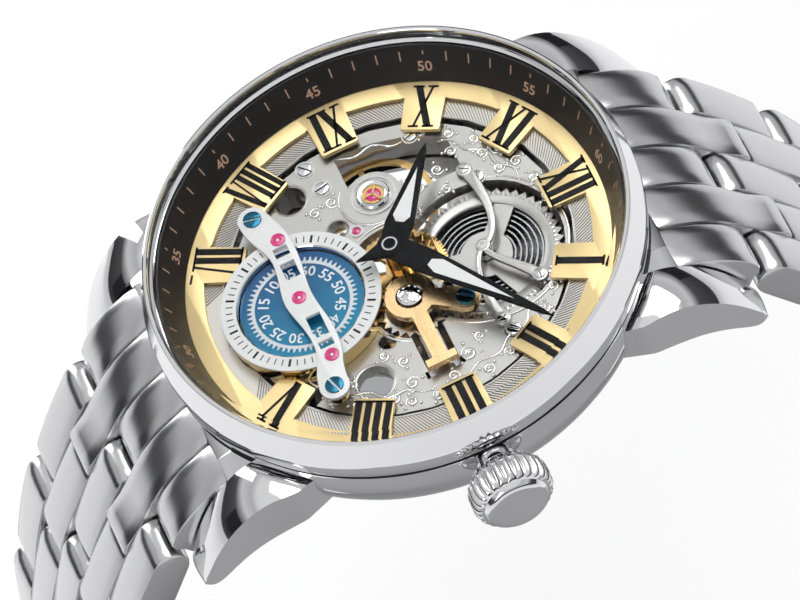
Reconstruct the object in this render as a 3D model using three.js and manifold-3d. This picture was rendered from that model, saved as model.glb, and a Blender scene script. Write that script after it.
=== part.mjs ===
// Skeleton wristwatch: case, hand-wound skeleton movement, hands, small seconds and a link bracelet.
// Millimetres, +Z out of the dial, +X towards 3 o'clock (the crown), +Y towards 12 o'clock.
// The origin is the middle of the case back's outer face.
import * as THREE from "three";
import { mergeVertices } from "three/addons/utils/BufferGeometryUtils.js";
import Module from "manifold-3d";

const wasm = await Module();
wasm.setup();

// ---- Driving dimensions -------------------------------------------------------------------------
const TAU = Math.PI * 2;
const DIAL_Z = 6.5; // top of the gold chapter ring above the case back
const GAP = 0.06; // running clearance between pieces that only rest on each other
const BEZEL_R = 21;
const BEZEL_TOP_R = 20.2;
const CRYSTAL_R = 19.85;
const MOVEMENT_R = 18.4;
const PLATE_R = 14.2;
const REHAUT = { outer: 19.5, foot: 17.8, lip: 19.3, top: 3.1 };
const CHAPTER = { outer: 19.4, band: 16.2, tabIn: 13.0, low: -0.4, tabWidth: 3.3 };
const CASE = { outer: 20.6, bore: 18.6, low: 1.3 };
const LUG = { inner: 11.25, outer: 15.8 };
const CROWN = { r: 3.45, start: 21.9, end: 25.5, z: -1.9, flutes: 20 };
const STEM_R = 0.6;

// Where each arbor stands in the plane of the dial.
const CENTER = new THREE.Vector2(0, 0);
const BARREL = new THREE.Vector2(1.95, 6.8);
const MINUTE = new THREE.Vector2(3.9, -0.3);
const THIRD = new THREE.Vector2(1.66, -4.12);
const SECONDS = new THREE.Vector2(0, -8.45);
const ESCAPE = new THREE.Vector2(-3.4, -5.11);
const PALLET = new THREE.Vector2(-5.2, -1.82);
const BALANCE = new THREE.Vector2(-7.75, 0.72);
const KEY_SCREW = new THREE.Vector2(6.35, 3.7);
const CROWN_WHEEL = new THREE.Vector2(8.6, 1.2);
const RATCHET = { teeth: 36, pitchR: 5 };
const WINDING_Z = -3.8; // lower face of the ratchet and crown wheels
const SIDES = 32; // facets of the large round pieces

// Teeth of each wheel and pinion; the record's couplings use the same counts.
const TEETH = {
  barrel: 48, centerPinion: 6, centerWheel: 48, thirdPinion: 6, thirdWheel: 45,
  fourthPinion: 6, fourthWheel: 60, escapePinion: 6, escapeWheel: 15,
  cannon: 8, minuteWheel: 24, minutePinion: 6, hourWheel: 24,
};
const BALANCE_R = 5;
const BRIDGE_Z = -4.35; // lower face of the back bridges

// Bracelet: pins sit one pitch apart along each side of the loop.
const LINK = { pitch: 11.3, half: 1.75, gap: 0.2, holeR: 0.68, pinR: 0.55, rodR: 0.8 };
const COLUMNS = [[-11, -6.75], [-6.6, -2.25], [-2.1, 2.1], [2.25, 6.6], [6.75, 11]];
const FIRST_PIN = new THREE.Vector2(27.3, -3);
// Below the horizontal, from the case to the clasp: the open bracelet hangs from the lugs.
const LINK_ANGLES = [57, 68, 80, 88, 90, 90];
const CLOSED_ANGLES = [57, 68, 84, 98, 120, 148]; // the same links round a wrist
const CLASP_CENTER_Z = -20;

// ---- Colours ------------------------------------------------------------------------------------
function metal(color, roughness) {
  return () => new THREE.MeshStandardMaterial({ color, roughness, metalness: 1 });
}
const STEEL = metal(0xc9cbd0, 0.15);
const BRUSHED = metal(0xb4b6ba, 0.38);
const NICKEL = metal(0xc2c0bb, 0.3);
const GOLD = metal(0xe6cc8c, 0.25);
const BRASS = metal(0xcf9f4f, 0.25);
const BLACK = () => new THREE.MeshStandardMaterial({ color: 0x1a1818, roughness: 0.5 });
const WHITE = () => new THREE.MeshStandardMaterial({ color: 0xf2f2f0, roughness: 0.4 });
const BLUE = () => new THREE.MeshStandardMaterial({ color: 0x0c5a8c, roughness: 0.3 });
const RUBY = () => new THREE.MeshStandardMaterial({ color: 0xd81e7a, roughness: 0.1 });
const SAPPHIRE = () =>
  new THREE.MeshStandardMaterial({ color: 0xeef4f8, roughness: 0.02, transparent: true, opacity: 0.3 });

// ---- Solids -------------------------------------------------------------------------------------
function solid(geometry) {
  const bare = geometry.index ? geometry.toNonIndexed() : geometry.clone();
  bare.deleteAttribute("normal");
  bare.deleteAttribute("uv");
  const merged = mergeVertices(bare, 1e-4);
  const index = merged.index.array;
  const kept = [];
  for (let i = 0; i < index.length; i += 3) {
    const [a, b, c] = [index[i], index[i + 1], index[i + 2]];
    if (a !== b && b !== c && a !== c) kept.push(a, b, c);
  }
  const mesh = new wasm.Mesh({
    numProp: 3,
    vertProperties: merged.attributes.position.array,
    triVerts: new Uint32Array(kept),
  });
  return new wasm.Manifold(mesh);
}

function geometryOf(manifold) {
  const mesh = manifold.getMesh();
  const points = new Float32Array(mesh.numVert * 3);
  for (let i = 0; i < mesh.numVert; i++) {
    for (let k = 0; k < 3; k++) points[i * 3 + k] = mesh.vertProperties[i * mesh.numProp + k];
  }
  const geometry = new THREE.BufferGeometry();
  geometry.setAttribute("position", new THREE.BufferAttribute(points, 3));
  geometry.setIndex(new THREE.BufferAttribute(new Uint32Array(mesh.triVerts), 1));
  return geometry;
}

function union(solids) {
  return solids.reduce((all, one) => all.add(one));
}

function cut(body, tools) {
  return tools.reduce((left, tool) => left.subtract(tool), body);
}

// A flat shape raised from zLow to zHigh.
function plate(shape, zLow, zHigh, curveSegments = 12) {
  const options = { depth: zHigh - zLow, bevelEnabled: false, curveSegments };
  return solid(new THREE.ExtrudeGeometry(shape, options).translate(0, 0, zLow));
}

function disc(center, radius, zLow, zHigh, sides = 24) {
  const cylinder = new THREE.CylinderGeometry(radius, radius, zHigh - zLow, sides);
  cylinder.rotateX(Math.PI / 2).translate(center.x, center.y, (zLow + zHigh) / 2);
  return solid(cylinder);
}

function rodX(radius, x0, x1, y, z, sides = 12) {
  const cylinder = new THREE.CylinderGeometry(radius, radius, x1 - x0, sides);
  return solid(cylinder.rotateZ(Math.PI / 2).translate((x0 + x1) / 2, y, z));
}

function block(x0, x1, y0, y1, z0, z1) {
  const box = new THREE.BoxGeometry(x1 - x0, y1 - y0, z1 - z0);
  return solid(box.translate((x0 + x1) / 2, (y0 + y1) / 2, (z0 + z1) / 2));
}

// A ring turned about Z from a closed profile of [radius, height] points, anticlockwise.
function turned(profile, segments = SIDES) {
  const points = [...profile, profile[0]].map(([r, z]) => new THREE.Vector2(r, z));
  return solid(new THREE.LatheGeometry(points, segments).rotateX(Math.PI / 2));
}

function circlePath(center, radius) {
  return new THREE.Path().absarc(center.x, center.y, radius, 0, TAU, true);
}

function ringShape(center, outer, inner) {
  const shape = new THREE.Shape().absarc(center.x, center.y, outer, 0, TAU, false);
  if (inner > 0) shape.holes.push(circlePath(center, inner));
  return shape;
}

function polygon(points) {
  return new THREE.Shape(points.map(([x, y]) => new THREE.Vector2(x, y)));
}

function polar(center, radius, angle) {
  return new THREE.Vector2(center.x + radius * Math.cos(angle), center.y + radius * Math.sin(angle));
}

// A bar with round ends between two points, as a flat outline.
function barShape(from, to, radiusFrom, radiusTo = radiusFrom) {
  const along = Math.atan2(to.y - from.y, to.x - from.x);
  const shape = new THREE.Shape();
  shape.absarc(from.x, from.y, radiusFrom, along + Math.PI / 2, along - Math.PI / 2, false);
  shape.absarc(to.x, to.y, radiusTo, along - Math.PI / 2, along + Math.PI / 2, false);
  return shape;
}

// ---- Wheels -------------------------------------------------------------------------------------
function toothedShape({ center, teeth, pitchR, phase = 0 }, thin = 0.36) {
  const step = TAU / teeth;
  const fine = teeth > 20; // fine teeth are plain points
  const tooth = pitchR * step;
  const tip = pitchR + tooth * 0.26;
  const root = pitchR - tooth * 0.36;
  const points = [];
  for (let i = 0; i < teeth; i++) {
    const middle = phase + i * step;
    if (fine) {
      points.push(polar(center, root, middle - step / 2));
      points.push(polar(center, tip, middle));
      continue;
    }
    points.push(polar(center, root, middle - step * thin));
    points.push(polar(center, tip, middle - step * thin * 0.38));
    points.push(polar(center, tip, middle + step * thin * 0.38));
    points.push(polar(center, root, middle + step * thin));
  }
  return new THREE.Shape(points);
}

// Windows between the spokes of a wheel.
function spokeWindows({ center, phase = 0 }, count, inner, outer, spoke) {
  return Array.from({ length: count }, (_, i) => {
    const from = phase + (i * TAU) / count;
    const to = from + TAU / count;
    const path = new THREE.Path();
    const outerTrim = spoke / 2 / outer;
    const innerTrim = spoke / 2 / inner;
    path.absarc(center.x, center.y, outer, from + outerTrim, to - outerTrim, false);
    path.absarc(center.x, center.y, inner, to - innerTrim, from + innerTrim, true);
    path.closePath();
    return path;
  });
}

function wheel(gear, zLow, zHigh, spokes, hub, rim, spoke = 0.55) {
  const shape = toothedShape(gear);
  if (spokes) shape.holes.push(...spokeWindows(gear, spokes, hub, gear.pitchR - rim, spoke));
  return plate(shape, zLow, zHigh, 3);
}

// The phase that puts a gap of the driven wheel opposite a tooth of the driver.
function meshed(driver, center, teeth, pitchR) {
  const line = Math.atan2(center.y - driver.center.y, center.x - driver.center.x);
  const offset = ((line - (driver.phase ?? 0)) / TAU) * driver.teeth;
  const phase = line + Math.PI - ((0.5 - offset) * TAU) / teeth;
  return { center, teeth, pitchR, phase };
}

function distance(a, b) {
  return a.distanceTo(b);
}

// Pitch radii that fill the distance between two arbors in the ratio of their teeth.
function pitchPair(a, b, teethA, teethB) {
  const span = distance(a, b);
  return [(span * teethA) / (teethA + teethB), (span * teethB) / (teethA + teethB)];
}

const [barrelR, centerPinionR] = pitchPair(BARREL, CENTER, TEETH.barrel, TEETH.centerPinion);
const [centerR, thirdPinionR] = pitchPair(CENTER, THIRD, TEETH.centerWheel, TEETH.thirdPinion);
const [thirdR, fourthPinionR] = pitchPair(THIRD, SECONDS, TEETH.thirdWheel, TEETH.fourthPinion);
const [fourthR, escapePinionR] = pitchPair(SECONDS, ESCAPE, TEETH.fourthWheel, TEETH.escapePinion);
const [cannonR, minuteR] = pitchPair(CENTER, MINUTE, TEETH.cannon, TEETH.minuteWheel);
const [minutePinionR, hourR] = pitchPair(MINUTE, CENTER, TEETH.minutePinion, TEETH.hourWheel);
const escapeR = distance(ESCAPE, PALLET) * Math.cos(Math.PI / 6);

const BARREL_GEAR = { center: BARREL, teeth: TEETH.barrel, pitchR: barrelR, phase: 0 };
const CENTER_PINION = meshed(BARREL_GEAR, CENTER, TEETH.centerPinion, centerPinionR);
const CENTER_GEAR = { center: CENTER, teeth: TEETH.centerWheel, pitchR: centerR, phase: 0 };
const THIRD_PINION = meshed(CENTER_GEAR, THIRD, TEETH.thirdPinion, thirdPinionR);
const THIRD_GEAR = { center: THIRD, teeth: TEETH.thirdWheel, pitchR: thirdR, phase: 0 };
const FOURTH_PINION = meshed(THIRD_GEAR, SECONDS, TEETH.fourthPinion, fourthPinionR);
const FOURTH_GEAR = { center: SECONDS, teeth: TEETH.fourthWheel, pitchR: fourthR, phase: 0 };
const ESCAPE_PINION = meshed(FOURTH_GEAR, ESCAPE, TEETH.escapePinion, escapePinionR);
const CANNON_GEAR = { center: CENTER, teeth: TEETH.cannon, pitchR: cannonR, phase: 0 };
const MINUTE_GEAR = meshed(CANNON_GEAR, MINUTE, TEETH.minuteWheel, minuteR);
const MINUTE_PINION = { center: MINUTE, teeth: TEETH.minutePinion, pitchR: minutePinionR, phase: 0 };
const HOUR_GEAR = meshed(MINUTE_PINION, CENTER, TEETH.hourWheel, hourR);

// ---- Movement -----------------------------------------------------------------------------------
function mainPlate() {
  const top = ringShape(CENTER, PLATE_R, 0);
  const openings = [
    ringShape(CENTER, 4.35, 0),
    ringShape(BARREL, 6.75, 0),
    ringShape(MINUTE, 3.3, 0),
  ];
  const pins = [
    [new THREE.Vector2(-10.9, -5.6), 1.45],
    [new THREE.Vector2(9.3, -5.9), 1.7],
    [new THREE.Vector2(7.6, -11), 1.3],
    [new THREE.Vector2(-6.2, -3.1), 0.9],
    [new THREE.Vector2(6.2, -3.6), 0.75],
    [PALLET, 0.35],
    [BALANCE, 0.5],
    [SECONDS, 0.35],
  ];
  let body = plate(top, -1.9, -0.75, 16);
  body = body.add(plate(ringShape(CENTER, PLATE_R, 13.1), -3.7, -1.85, 16));
  body = body.add(plate(ringShape(CENTER, 14.9, 13.1), -2.9, -2.6, 16));
  body = cut(body, openings.map((shape) => plate(shape, -4, 0, 16)));
  body = cut(body, pins.map(([at, r]) => disc(at, r, -4, 0, 8)));
  body = body.subtract(balanceOpening());
  body = cut(body, keySlots());
  body = body.subtract(plate(ringShape(SECONDS, 5.1, 0), -2, -1.1, 16));
  body = body.subtract(disc(THIRD, 0.8, -2, -1.1, 10));
  body = body.subtract(block(11.35, 12.45, -1.1, 1.1, -4, -0.92));
  return body.subtract(rodX(STEM_R + 0.3, 10, 16, 0, CROWN.z, 12));
}

// The crescent beside the balance, between two arcs.
function balanceOpening() {
  const outer = plate(ringShape(CENTER, 12.9, 0), -4, 0, 16);
  const cock = plate(ringShape(BALANCE, 2.35, 0), -5, 1, 12);
  const arm = block(-8, 0, -9, 3.4, -5, 1);
  const far = block(-14, 0, -20, -0.9, -5, 1);
  const upper = block(-14, 0, 8.2, 20, -5, 1);
  const right = block(-6.4, 20, -20, 20, -5, 1);
  return cut(outer, [cock, arm, far, upper, right]);
}

// The two slots beside the key bridge's shaft and the notch for its bit.
function keySlots() {
  return [
    block(6.5, 10.6, 0.5, 1.1, -5, 0),
    block(6.5, 10.6, -1.7, -1.1, -5, 0),
    block(10.6, 11.3, -2, -1.1, -5, 0),
    block(10.6, 11.3, 0.5, 1.4, -5, 0),
  ];
}

function movementRing() {
  const body = turned([
    [14.6, -0.8], [14.6, -2.4], [15.05, -2.45], [15.05, -2.96], [PLATE_R + 0.15, -2.96], [PLATE_R + 0.15, -3.8],
    [MOVEMENT_R, -3.8], [MOVEMENT_R, -0.8],
  ]);
  const leverPocket = block(15.3, 17.4, -0.95, 0.95, -3.4, 0);
  return cut(body, [leverPocket, rodX(STEM_R + 0.3, 13, 19, 0, CROWN.z, 12)]);
}

function trainBridge() {
  const body = plate(ringShape(CENTER, 14.3, 0), BRIDGE_Z, BRIDGE_Z + 0.4, 16);
  const pivots = [[CENTER, 0.4], [THIRD, 0.3], [SECONDS, 0.3], [ESCAPE, 0.3], [BARREL, 0.85], [CROWN_WHEEL, 0.45]];
  const windows = [
    plate(ringShape(BALANCE, 5.5, 0), -6, -3, 14),
    plate(ringShape(BARREL, 3.4, 1.6), -6, -3, 12),
    disc(new THREE.Vector2(8.6, -6.6), 2.6, -6, -3, 16),
    disc(cockFoot(), 1.12, -6, -3, 10),
    ...pivots.map(([at, r]) => disc(at, r, -6, -3, 10)),
  ];
  const spoke = block(BARREL.x - 5, BARREL.x + 5, BARREL.y - 0.6, BARREL.y + 0.6, BRIDGE_Z, BRIDGE_Z + 0.4);
  const posts = [[10.3, 6.6], [-3.3, 11.9], [11.2, -4.4], [5.7, -10.6]].map(([x, y]) =>
    disc(new THREE.Vector2(x, y), 0.6, BRIDGE_Z + 0.3, -1.96, 10),
  );
  const shaped = cut(body, windows).add(spoke.subtract(disc(BARREL, 0.85, -6, -3, 10)));
  return union([shaped, ...posts]);
}

function cockFoot() {
  return polar(BALANCE, 6.1, Math.PI * 1.28);
}

function balanceCock() {
  const foot = cockFoot();
  const arm = plate(barShape(foot, BALANCE, 0.85, 0.75), BRIDGE_Z, BRIDGE_Z + 0.4, 6);
  const post = disc(foot, 0.75, BRIDGE_Z + 0.3, -1.96, 10);
  return cut(arm.add(post), [disc(BALANCE, 0.25, -6, -3, 10)]);
}

function barrelDrum() {
  const flange = plate(toothedShape(BARREL_GEAR), -2.1, -1.55, 6);
  const wall = disc(BARREL, barrelR - 0.35, -3.4, -2, 36);
  const hollow = disc(BARREL, barrelR - 0.7, -3.2, -1.75, 36);
  const windows = spokeWindows({ center: BARREL, phase: 0.35 }, 3, 2.2, 4.9, 1.7);
  const ribs = ringShape(BARREL, 5.2, 0);
  ribs.holes.push(...windows);
  const open = disc(BARREL, 5.15, -1.9, -1, 16).subtract(plate(ribs, -1.95, -0.9, 8));
  return cut(flange.add(wall), [hollow, open, disc(BARREL, 0.8, -4, -1, 10)]);
}

function barrelArbor() {
  const core = disc(BARREL, 0.72, BRIDGE_Z - 0.2, -0.78, 10);
  return core.add(disc(BARREL, 1.5, -3.1, -1.9, 10));
}

// A flat spiral strip wound inside the drum.
function mainspring() {
  const turns = 4;
  const steps = 14;
  const thickness = 0.16;
  const radiusAt = (t) => 1.75 + (barrelR - 1 - 1.75) * (t / (turns * TAU));
  const outer = [];
  const inner = [];
  for (let i = 0; i <= turns * steps; i++) {
    const t = (i / steps) * TAU;
    outer.push(polar(BARREL, radiusAt(t) + thickness / 2, t));
    inner.unshift(polar(BARREL, radiusAt(t) - thickness / 2, t));
  }
  return plate(new THREE.Shape([...outer, ...inner]), -3.1, -1.9);
}

// Three polished arms over the barrel, with a foot on the plate at the end of each.
function barrelCock() {
  const left = new THREE.Vector2(-5.9, 8.2);
  const right = new THREE.Vector2(6.9, 9.9);
  const low = new THREE.Vector2(9.3, 5.6);
  const arms = [left, right, low].map((end) => plate(barShape(end, BARREL, 0.75, 0.95), -0.68, -0.28, 10));
  return union(arms);
}

const RATCHET_GEAR = { center: BARREL, ...RATCHET, phase: 0 };
const crownWheelR = distance(BARREL, CROWN_WHEEL) - RATCHET.pitchR;
const crownWheelTeeth = Math.round((crownWheelR / RATCHET.pitchR) * RATCHET.teeth);

function ratchet() {
  return plate(toothedShape(RATCHET_GEAR, 0.36), WINDING_Z, WINDING_Z + 0.25, 6)
    .subtract(disc(BARREL, 0.78, -6, -3, 10));
}

// A flat wheel in mesh with the ratchet.
function crownWheel() {
  const gear = meshed(RATCHET_GEAR, CROWN_WHEEL, crownWheelTeeth, crownWheelR);
  const flat = plate(toothedShape(gear, 0.34), WINDING_Z, WINDING_Z + 0.25, 6);
  return union([flat, disc(CROWN_WHEEL, 0.38, BRIDGE_Z + 0.02, WINDING_Z + 0.1, 10)]);
}

function click() {
  const pivot = polar(BARREL, 6.6, 2.6);
  const nose = polar(BARREL, RATCHET.pitchR + 0.42, 2.34);
  return plate(barShape(pivot, nose, 0.7, 0.2), WINDING_Z, WINDING_Z + 0.25, 6);
}

function centerWheel() {
  const gold = wheel(CENTER_GEAR, -1.45, -1.2, 4, 1.2, 0.55);
  const pinion = plate(toothedShape(CENTER_PINION, 0.3), -2.1, -1.4, 6);
  const upper = disc(CENTER, 0.33, -2.1, 2.05, 10);
  return union([gold, pinion, upper, disc(CENTER, 0.2, BRIDGE_Z + 0.05, -2, 10)]);
}

function thirdWheel() {
  const gold = wheel(THIRD_GEAR, -2.75, -2.55, 4, 0.8, 0.5);
  const pinion = plate(toothedShape(THIRD_PINION, 0.3), -1.5, -1.15, 6);
  return union([gold, pinion, disc(THIRD, 0.22, BRIDGE_Z + 0.05, -1.15, 10)]);
}

function fourthWheel() {
  const gold = wheel(FOURTH_GEAR, -3.4, -3.2, 4, 0.8, 0.5);
  const pinion = plate(toothedShape(FOURTH_PINION, 0.3), -2.8, -2.5, 6);
  return union([gold, pinion, disc(SECONDS, 0.24, BRIDGE_Z + 0.05, 1.0, 10)]);
}

// Fifteen raked teeth.
function escapeWheel() {
  const teeth = TEETH.escapeWheel;
  const points = [];
  for (let i = 0; i < teeth; i++) {
    const at = (i * TAU) / teeth;
    points.push(polar(ESCAPE, escapeR * 0.8, at));
    points.push(polar(ESCAPE, escapeR, at + 0.2));
    points.push(polar(ESCAPE, escapeR * 0.985, at + 0.24));
    points.push(polar(ESCAPE, escapeR * 0.8, at + 0.17));
  }
  const shape = new THREE.Shape(points);
  shape.holes.push(...spokeWindows({ center: ESCAPE }, 4, 0.7, escapeR * 0.68, 0.4));
  const steel = plate(shape, -2.25, -2.05, 5);
  const pinion = plate(toothedShape(ESCAPE_PINION, 0.3), -3.45, -3.1, 6);
  return union([steel, pinion, disc(ESCAPE, 0.2, BRIDGE_Z + 0.05, -1.98, 10)]);
}

// Anchor with two stones, and a fork that reaches towards the balance staff.
function palletFork() {
  const toEscape = Math.atan2(ESCAPE.y - PALLET.y, ESCAPE.x - PALLET.x);
  const reach = escapeR / Math.cos(Math.PI / 6) / 2 - 0.15;
  const arms = [-1, 1].map((side) => barShape(PALLET, polar(PALLET, reach, toEscape + side * 1.35), 0.32, 0.2));
  const toStaff = Math.atan2(BALANCE.y - PALLET.y, BALANCE.x - PALLET.x);
  const fork = barShape(PALLET, polar(PALLET, distance(BALANCE, PALLET) - 1.15, toStaff), 0.3, 0.22);
  const flats = [...arms, fork].map((shape) => plate(shape, -2.3, -2.02, 6));
  return union([...flats, disc(PALLET, 0.2, -2.4, -1.98, 10)]);
}

function balanceWheel() {
  const rim = plate(ringShape(BALANCE, BALANCE_R, BALANCE_R - 0.5), -3.1, -2.75, 16);
  const arms = [0, Math.PI / 2].map((turn) =>
    plate(barShape(polar(BALANCE, BALANCE_R - 0.3, turn), polar(BALANCE, BALANCE_R - 0.3, turn + Math.PI), 0.24),
      -3.05, -2.8, 4));
  const roller = disc(BALANCE, 0.6, -2.62, -2.5, 10);
  const staff = disc(BALANCE, 0.18, BRIDGE_Z + 0.05, -1.2, 10);
  return union([rim, ...arms, roller, staff]);
}

function hairspring() {
  const turns = 3;
  const steps = 12;
  const thickness = 0.1;
  const radiusAt = (t) => 0.45 + 1.9 * (t / (turns * TAU));
  const outer = [];
  const inner = [];
  for (let i = 0; i <= turns * steps; i++) {
    const t = (i / steps) * TAU;
    outer.push(polar(BALANCE, radiusAt(t) + thickness / 2, t));
    inner.unshift(polar(BALANCE, radiusAt(t) - thickness / 2, t));
  }
  return plate(new THREE.Shape([...outer, ...inner]), -3.75, -3.5);
}

function minuteWheel() {
  const body = wheel(MINUTE_GEAR, -1.05, -0.85, 5, 0.9, 0.5, 0.4);
  const pinion = plate(toothedShape(MINUTE_PINION, 0.3), -0.9, -0.32, 6);
  return body.add(pinion).subtract(disc(MINUTE, 0.26, -2, 1, 10));
}

function hourWheel() {
  const body = wheel(HOUR_GEAR, -0.6, -0.38, 4, 1.1, 0.45, 0.5);
  const pipe = disc(CENTER, 0.85, -0.6, 2.0, 16);
  return body.add(pipe).subtract(disc(CENTER, 0.68, -1, 3, 16));
}

function cannonPinion() {
  const leaves = plate(toothedShape(CANNON_GEAR, 0.3), -1.08, -0.75, 6);
  const pipe = disc(CENTER, 0.6, -0.8, 2.42, 16);
  return leaves.add(pipe).subtract(disc(CENTER, 0.37, -2, 2.3, 10));
}

// Gold bridge shaped like a key: a ring bow, an arm to its screw, a shaft and a toothed bit.
function keyBridge() {
  const bow = ringShape(MINUTE, 2.15, 1.25);
  const arm = barShape(polar(MINUTE, 1.75, 1.0), KEY_SCREW, 0.75, 1.15);
  const shaft = polygon([[5.8, -0.95], [10.5, -0.95], [10.5, 0.35], [5.8, 0.35]]);
  const bit = polygon([[10.45, -1.6], [11.15, -1.6], [11.15, 1], [10.45, 1]]);
  const top = union([bow, arm, shaft, bit].map((shape) => plate(shape, -0.1, 0.5, 10)));
  const feet = [disc(KEY_SCREW, 0.9, -0.69, -0.05, 10), block(9.3, 10.3, -0.8, 0.2, -0.69, -0.05)];
  const boss = disc(MINUTE, 0.22, -1.12, 0.45, 10);
  const web = block(MINUTE.x - 1.6, MINUTE.x + 1.6, MINUTE.y - 0.2, MINUTE.y + 0.2, -0.1, 0.1);
  return union([top, ...feet, web, boss]);
}

// ---- Dial side ----------------------------------------------------------------------------------
function chapterRing() {
  const tabs = [];
  for (let hour = 1; hour <= 12; hour++) {
    if (hour === 6) continue;
    const turn = Math.PI / 2 - (hour * TAU) / 12;
    const half = CHAPTER.tabWidth / 2;
    const tab = polygon([[CHAPTER.tabIn, -half], [16.6, -half * 1.1], [16.6, half * 1.1], [CHAPTER.tabIn, half]]);
    tabs.push(plate(tab, CHAPTER.low, 0).rotate([0, 0, THREE.MathUtils.radToDeg(turn)]));
  }
  const band = plate(ringShape(CENTER, CHAPTER.outer, CHAPTER.band), CHAPTER.low, 0, 16);
  return union([band, ...tabs]).subtract(plate(ringShape(SECONDS, 7.0, 0), -1, 1, 16));
}

function hatchedRing() {
  return plate(ringShape(CENTER, 16.9, 14.62), -0.74, -0.46, 16).subtract(disc(SECONDS, 6.8, -1, 0, 16));
}

function rehaut() {
  return turned([
    [REHAUT.foot, GAP], [REHAUT.outer, GAP], [REHAUT.outer, REHAUT.top], [REHAUT.lip, REHAUT.top],
  ]);
}

function secondsRing() {
  return plate(ringShape(SECONDS, 6.75, 5.4), 0.78, 1.0, 16);
}

function secondsSeat() {
  const wall = plate(ringShape(SECONDS, 6.65, 6.05), -0.69, 0.72, 16);
  return wall.subtract(plate(ringShape(MINUTE, 3.35, 0), -2, -0.2, 16))
    .subtract(plate(ringShape(CENTER, 4.4, 0), -2, -0.3, 16));
}

function secondsDisc() {
  return plate(ringShape(SECONDS, 5.2, 0.3), 0.2, 0.42, 16).add(
    plate(ringShape(SECONDS, 0.6, 0.3), 0.1, 0.75, 12));
}

// Long white bridge across the small seconds, with a screw foot at each end and four windows.
function secondsBridge() {
  const y = SECONDS.y;
  const left = new THREE.Vector2(-9.15, y - 0.65);
  const right = new THREE.Vector2(9.4, y - 0.55);
  const shape = new THREE.Shape();
  shape.moveTo(left.x - 0.2, left.y - 1.25);
  shape.bezierCurveTo(left.x + 2.4, left.y - 1.2, left.x + 2.8, y - 0.95, -4.6, y - 0.75);
  shape.bezierCurveTo(-2.8, y - 0.65, -1.4, y - 1.3, 0, y - 1.3);
  shape.bezierCurveTo(1.4, y - 1.3, 2.8, y - 0.6, 4.8, y - 0.65);
  shape.bezierCurveTo(7, y - 0.7, right.x - 2.6, right.y - 0.9, right.x - 0.3, right.y - 1.25);
  shape.absarc(right.x, right.y, 1.28, -1.8, 1.8, false);
  shape.bezierCurveTo(right.x - 2.4, right.y + 1.4, 7, y + 1.45, 4.8, y + 1.5);
  shape.bezierCurveTo(2.8, y + 1.55, 1.6, y + 1.1, 0, y + 1.1);
  shape.bezierCurveTo(-1.6, y + 1.1, -2.8, y + 1.5, -4.6, y + 1.5);
  shape.bezierCurveTo(-7, y + 1.5, left.x + 2, left.y + 1.9, left.x - 0.3, left.y + 1.25);
  shape.absarc(left.x, left.y, 1.28, 1.8, TAU - 1.8, false);
  const top = plate(shape, 1.08, 1.45, 6);
  const windows = [[-5.5, -4.5], [-3.8, -2.1], [2.1, 4.4], [4.9, 5.6]].map(([x0, x1]) =>
    block(x0, x1, y - 0.28, y + 0.95, 0, 3));
  const feet = [left, right].map((at) => disc(at, 0.9, 0.05, 1.1, 10));
  return cut(union([top, ...feet]), [...windows, disc(SECONDS, 0.3, 0, 1.2, 10)]);
}

// Tapered hand with a tail of two points; the first length is along +Y before it is turned.
function hand(length, width, hole, angle, zLow, zHigh) {
  const shape = polygon([
    [0, length], [-width * 0.22, length * 0.72], [-width / 2, length * 0.24], [-1.15, 0.35],
    [-2.6, -1.7], [0, -0.95], [2.6, -1.7], [1.15, 0.35], [width / 2, length * 0.24],
    [width * 0.22, length * 0.72],
  ]);
  const body = plate(shape, zLow, zHigh).add(disc(CENTER, 1.25, zLow, zHigh, 16));
  return body.subtract(disc(CENTER, hole, -1, 9, 16)).rotate([0, 0, -angle]);
}

// ---- Case ---------------------------------------------------------------------------------------
function lug(sideX, sideY) {
  const profile = polygon([
    [14, 5.2], [17.6, 6.7], [20.4, 5.3], [23, 2.6], [25.2, -0.6], [25.7, -2.1], [25.1, -2.6],
    [23.8, -2.3], [21.5, 0.2], [18.5, 1.4], [14, 1.6],
  ]);
  const width = LUG.outer - LUG.inner;
  const raised = new THREE.ExtrudeGeometry(profile, { depth: width, bevelEnabled: false });
  // Shape X becomes Y, shape Y becomes Z and the extrusion runs along X.
  const turn = new THREE.Matrix4().set(0, 0, 1, LUG.inner, 1, 0, 0, 0, 0, 1, 0, 0, 0, 0, 0, 1);
  const body = solid(raised.applyMatrix4(turn));
  const flare = block(LUG.outer - 0.1, LUG.outer + 3, 10, 30, -5, 9).rotate([0, 0, 6]);
  const trimmed = body.subtract(flare);
  const mirrored = sideX < 0 ? trimmed.mirror([1, 0, 0]) : trimmed;
  return sideY < 0 ? mirrored.mirror([0, 1, 0]) : mirrored;
}

function caseMiddle() {
  const flank = turned([
    [CASE.bore - 0.9, 1.35], [19.1, 1.35], [20.1, 2.6], [CASE.outer + 0.1, 4.6], [CASE.outer, 7.05],
    [REHAUT.outer + GAP, 7.05], [REHAUT.outer + GAP, DIAL_Z + CHAPTER.low - GAP], [CASE.bore, DIAL_Z + CHAPTER.low - GAP],
    [CASE.bore, 2.4], [CASE.bore - 0.9, 2.4],
  ]);
  const lugs = [[1, 1], [-1, 1], [1, -1], [-1, -1]].map(([x, y]) => lug(x, y));
  const inside = disc(CENTER, CASE.outer - 1.2, -5, 9, SIDES);
  const outerLugs = lugs.map((one) => one.subtract(inside));
  const guard = rodX(1.9, 19.6, 21.6, 0, DIAL_Z + CROWN.z, 16);
  const bore = rodX(STEM_R + GAP, 15, 23, 0, DIAL_Z + CROWN.z, 16);
  const bars = [1, -1].map((side) => springBarAt(side, 0.5, 12.4));
  return cut(union([flank, ...outerLugs, guard]), [bore, ...bars]);
}

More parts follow.
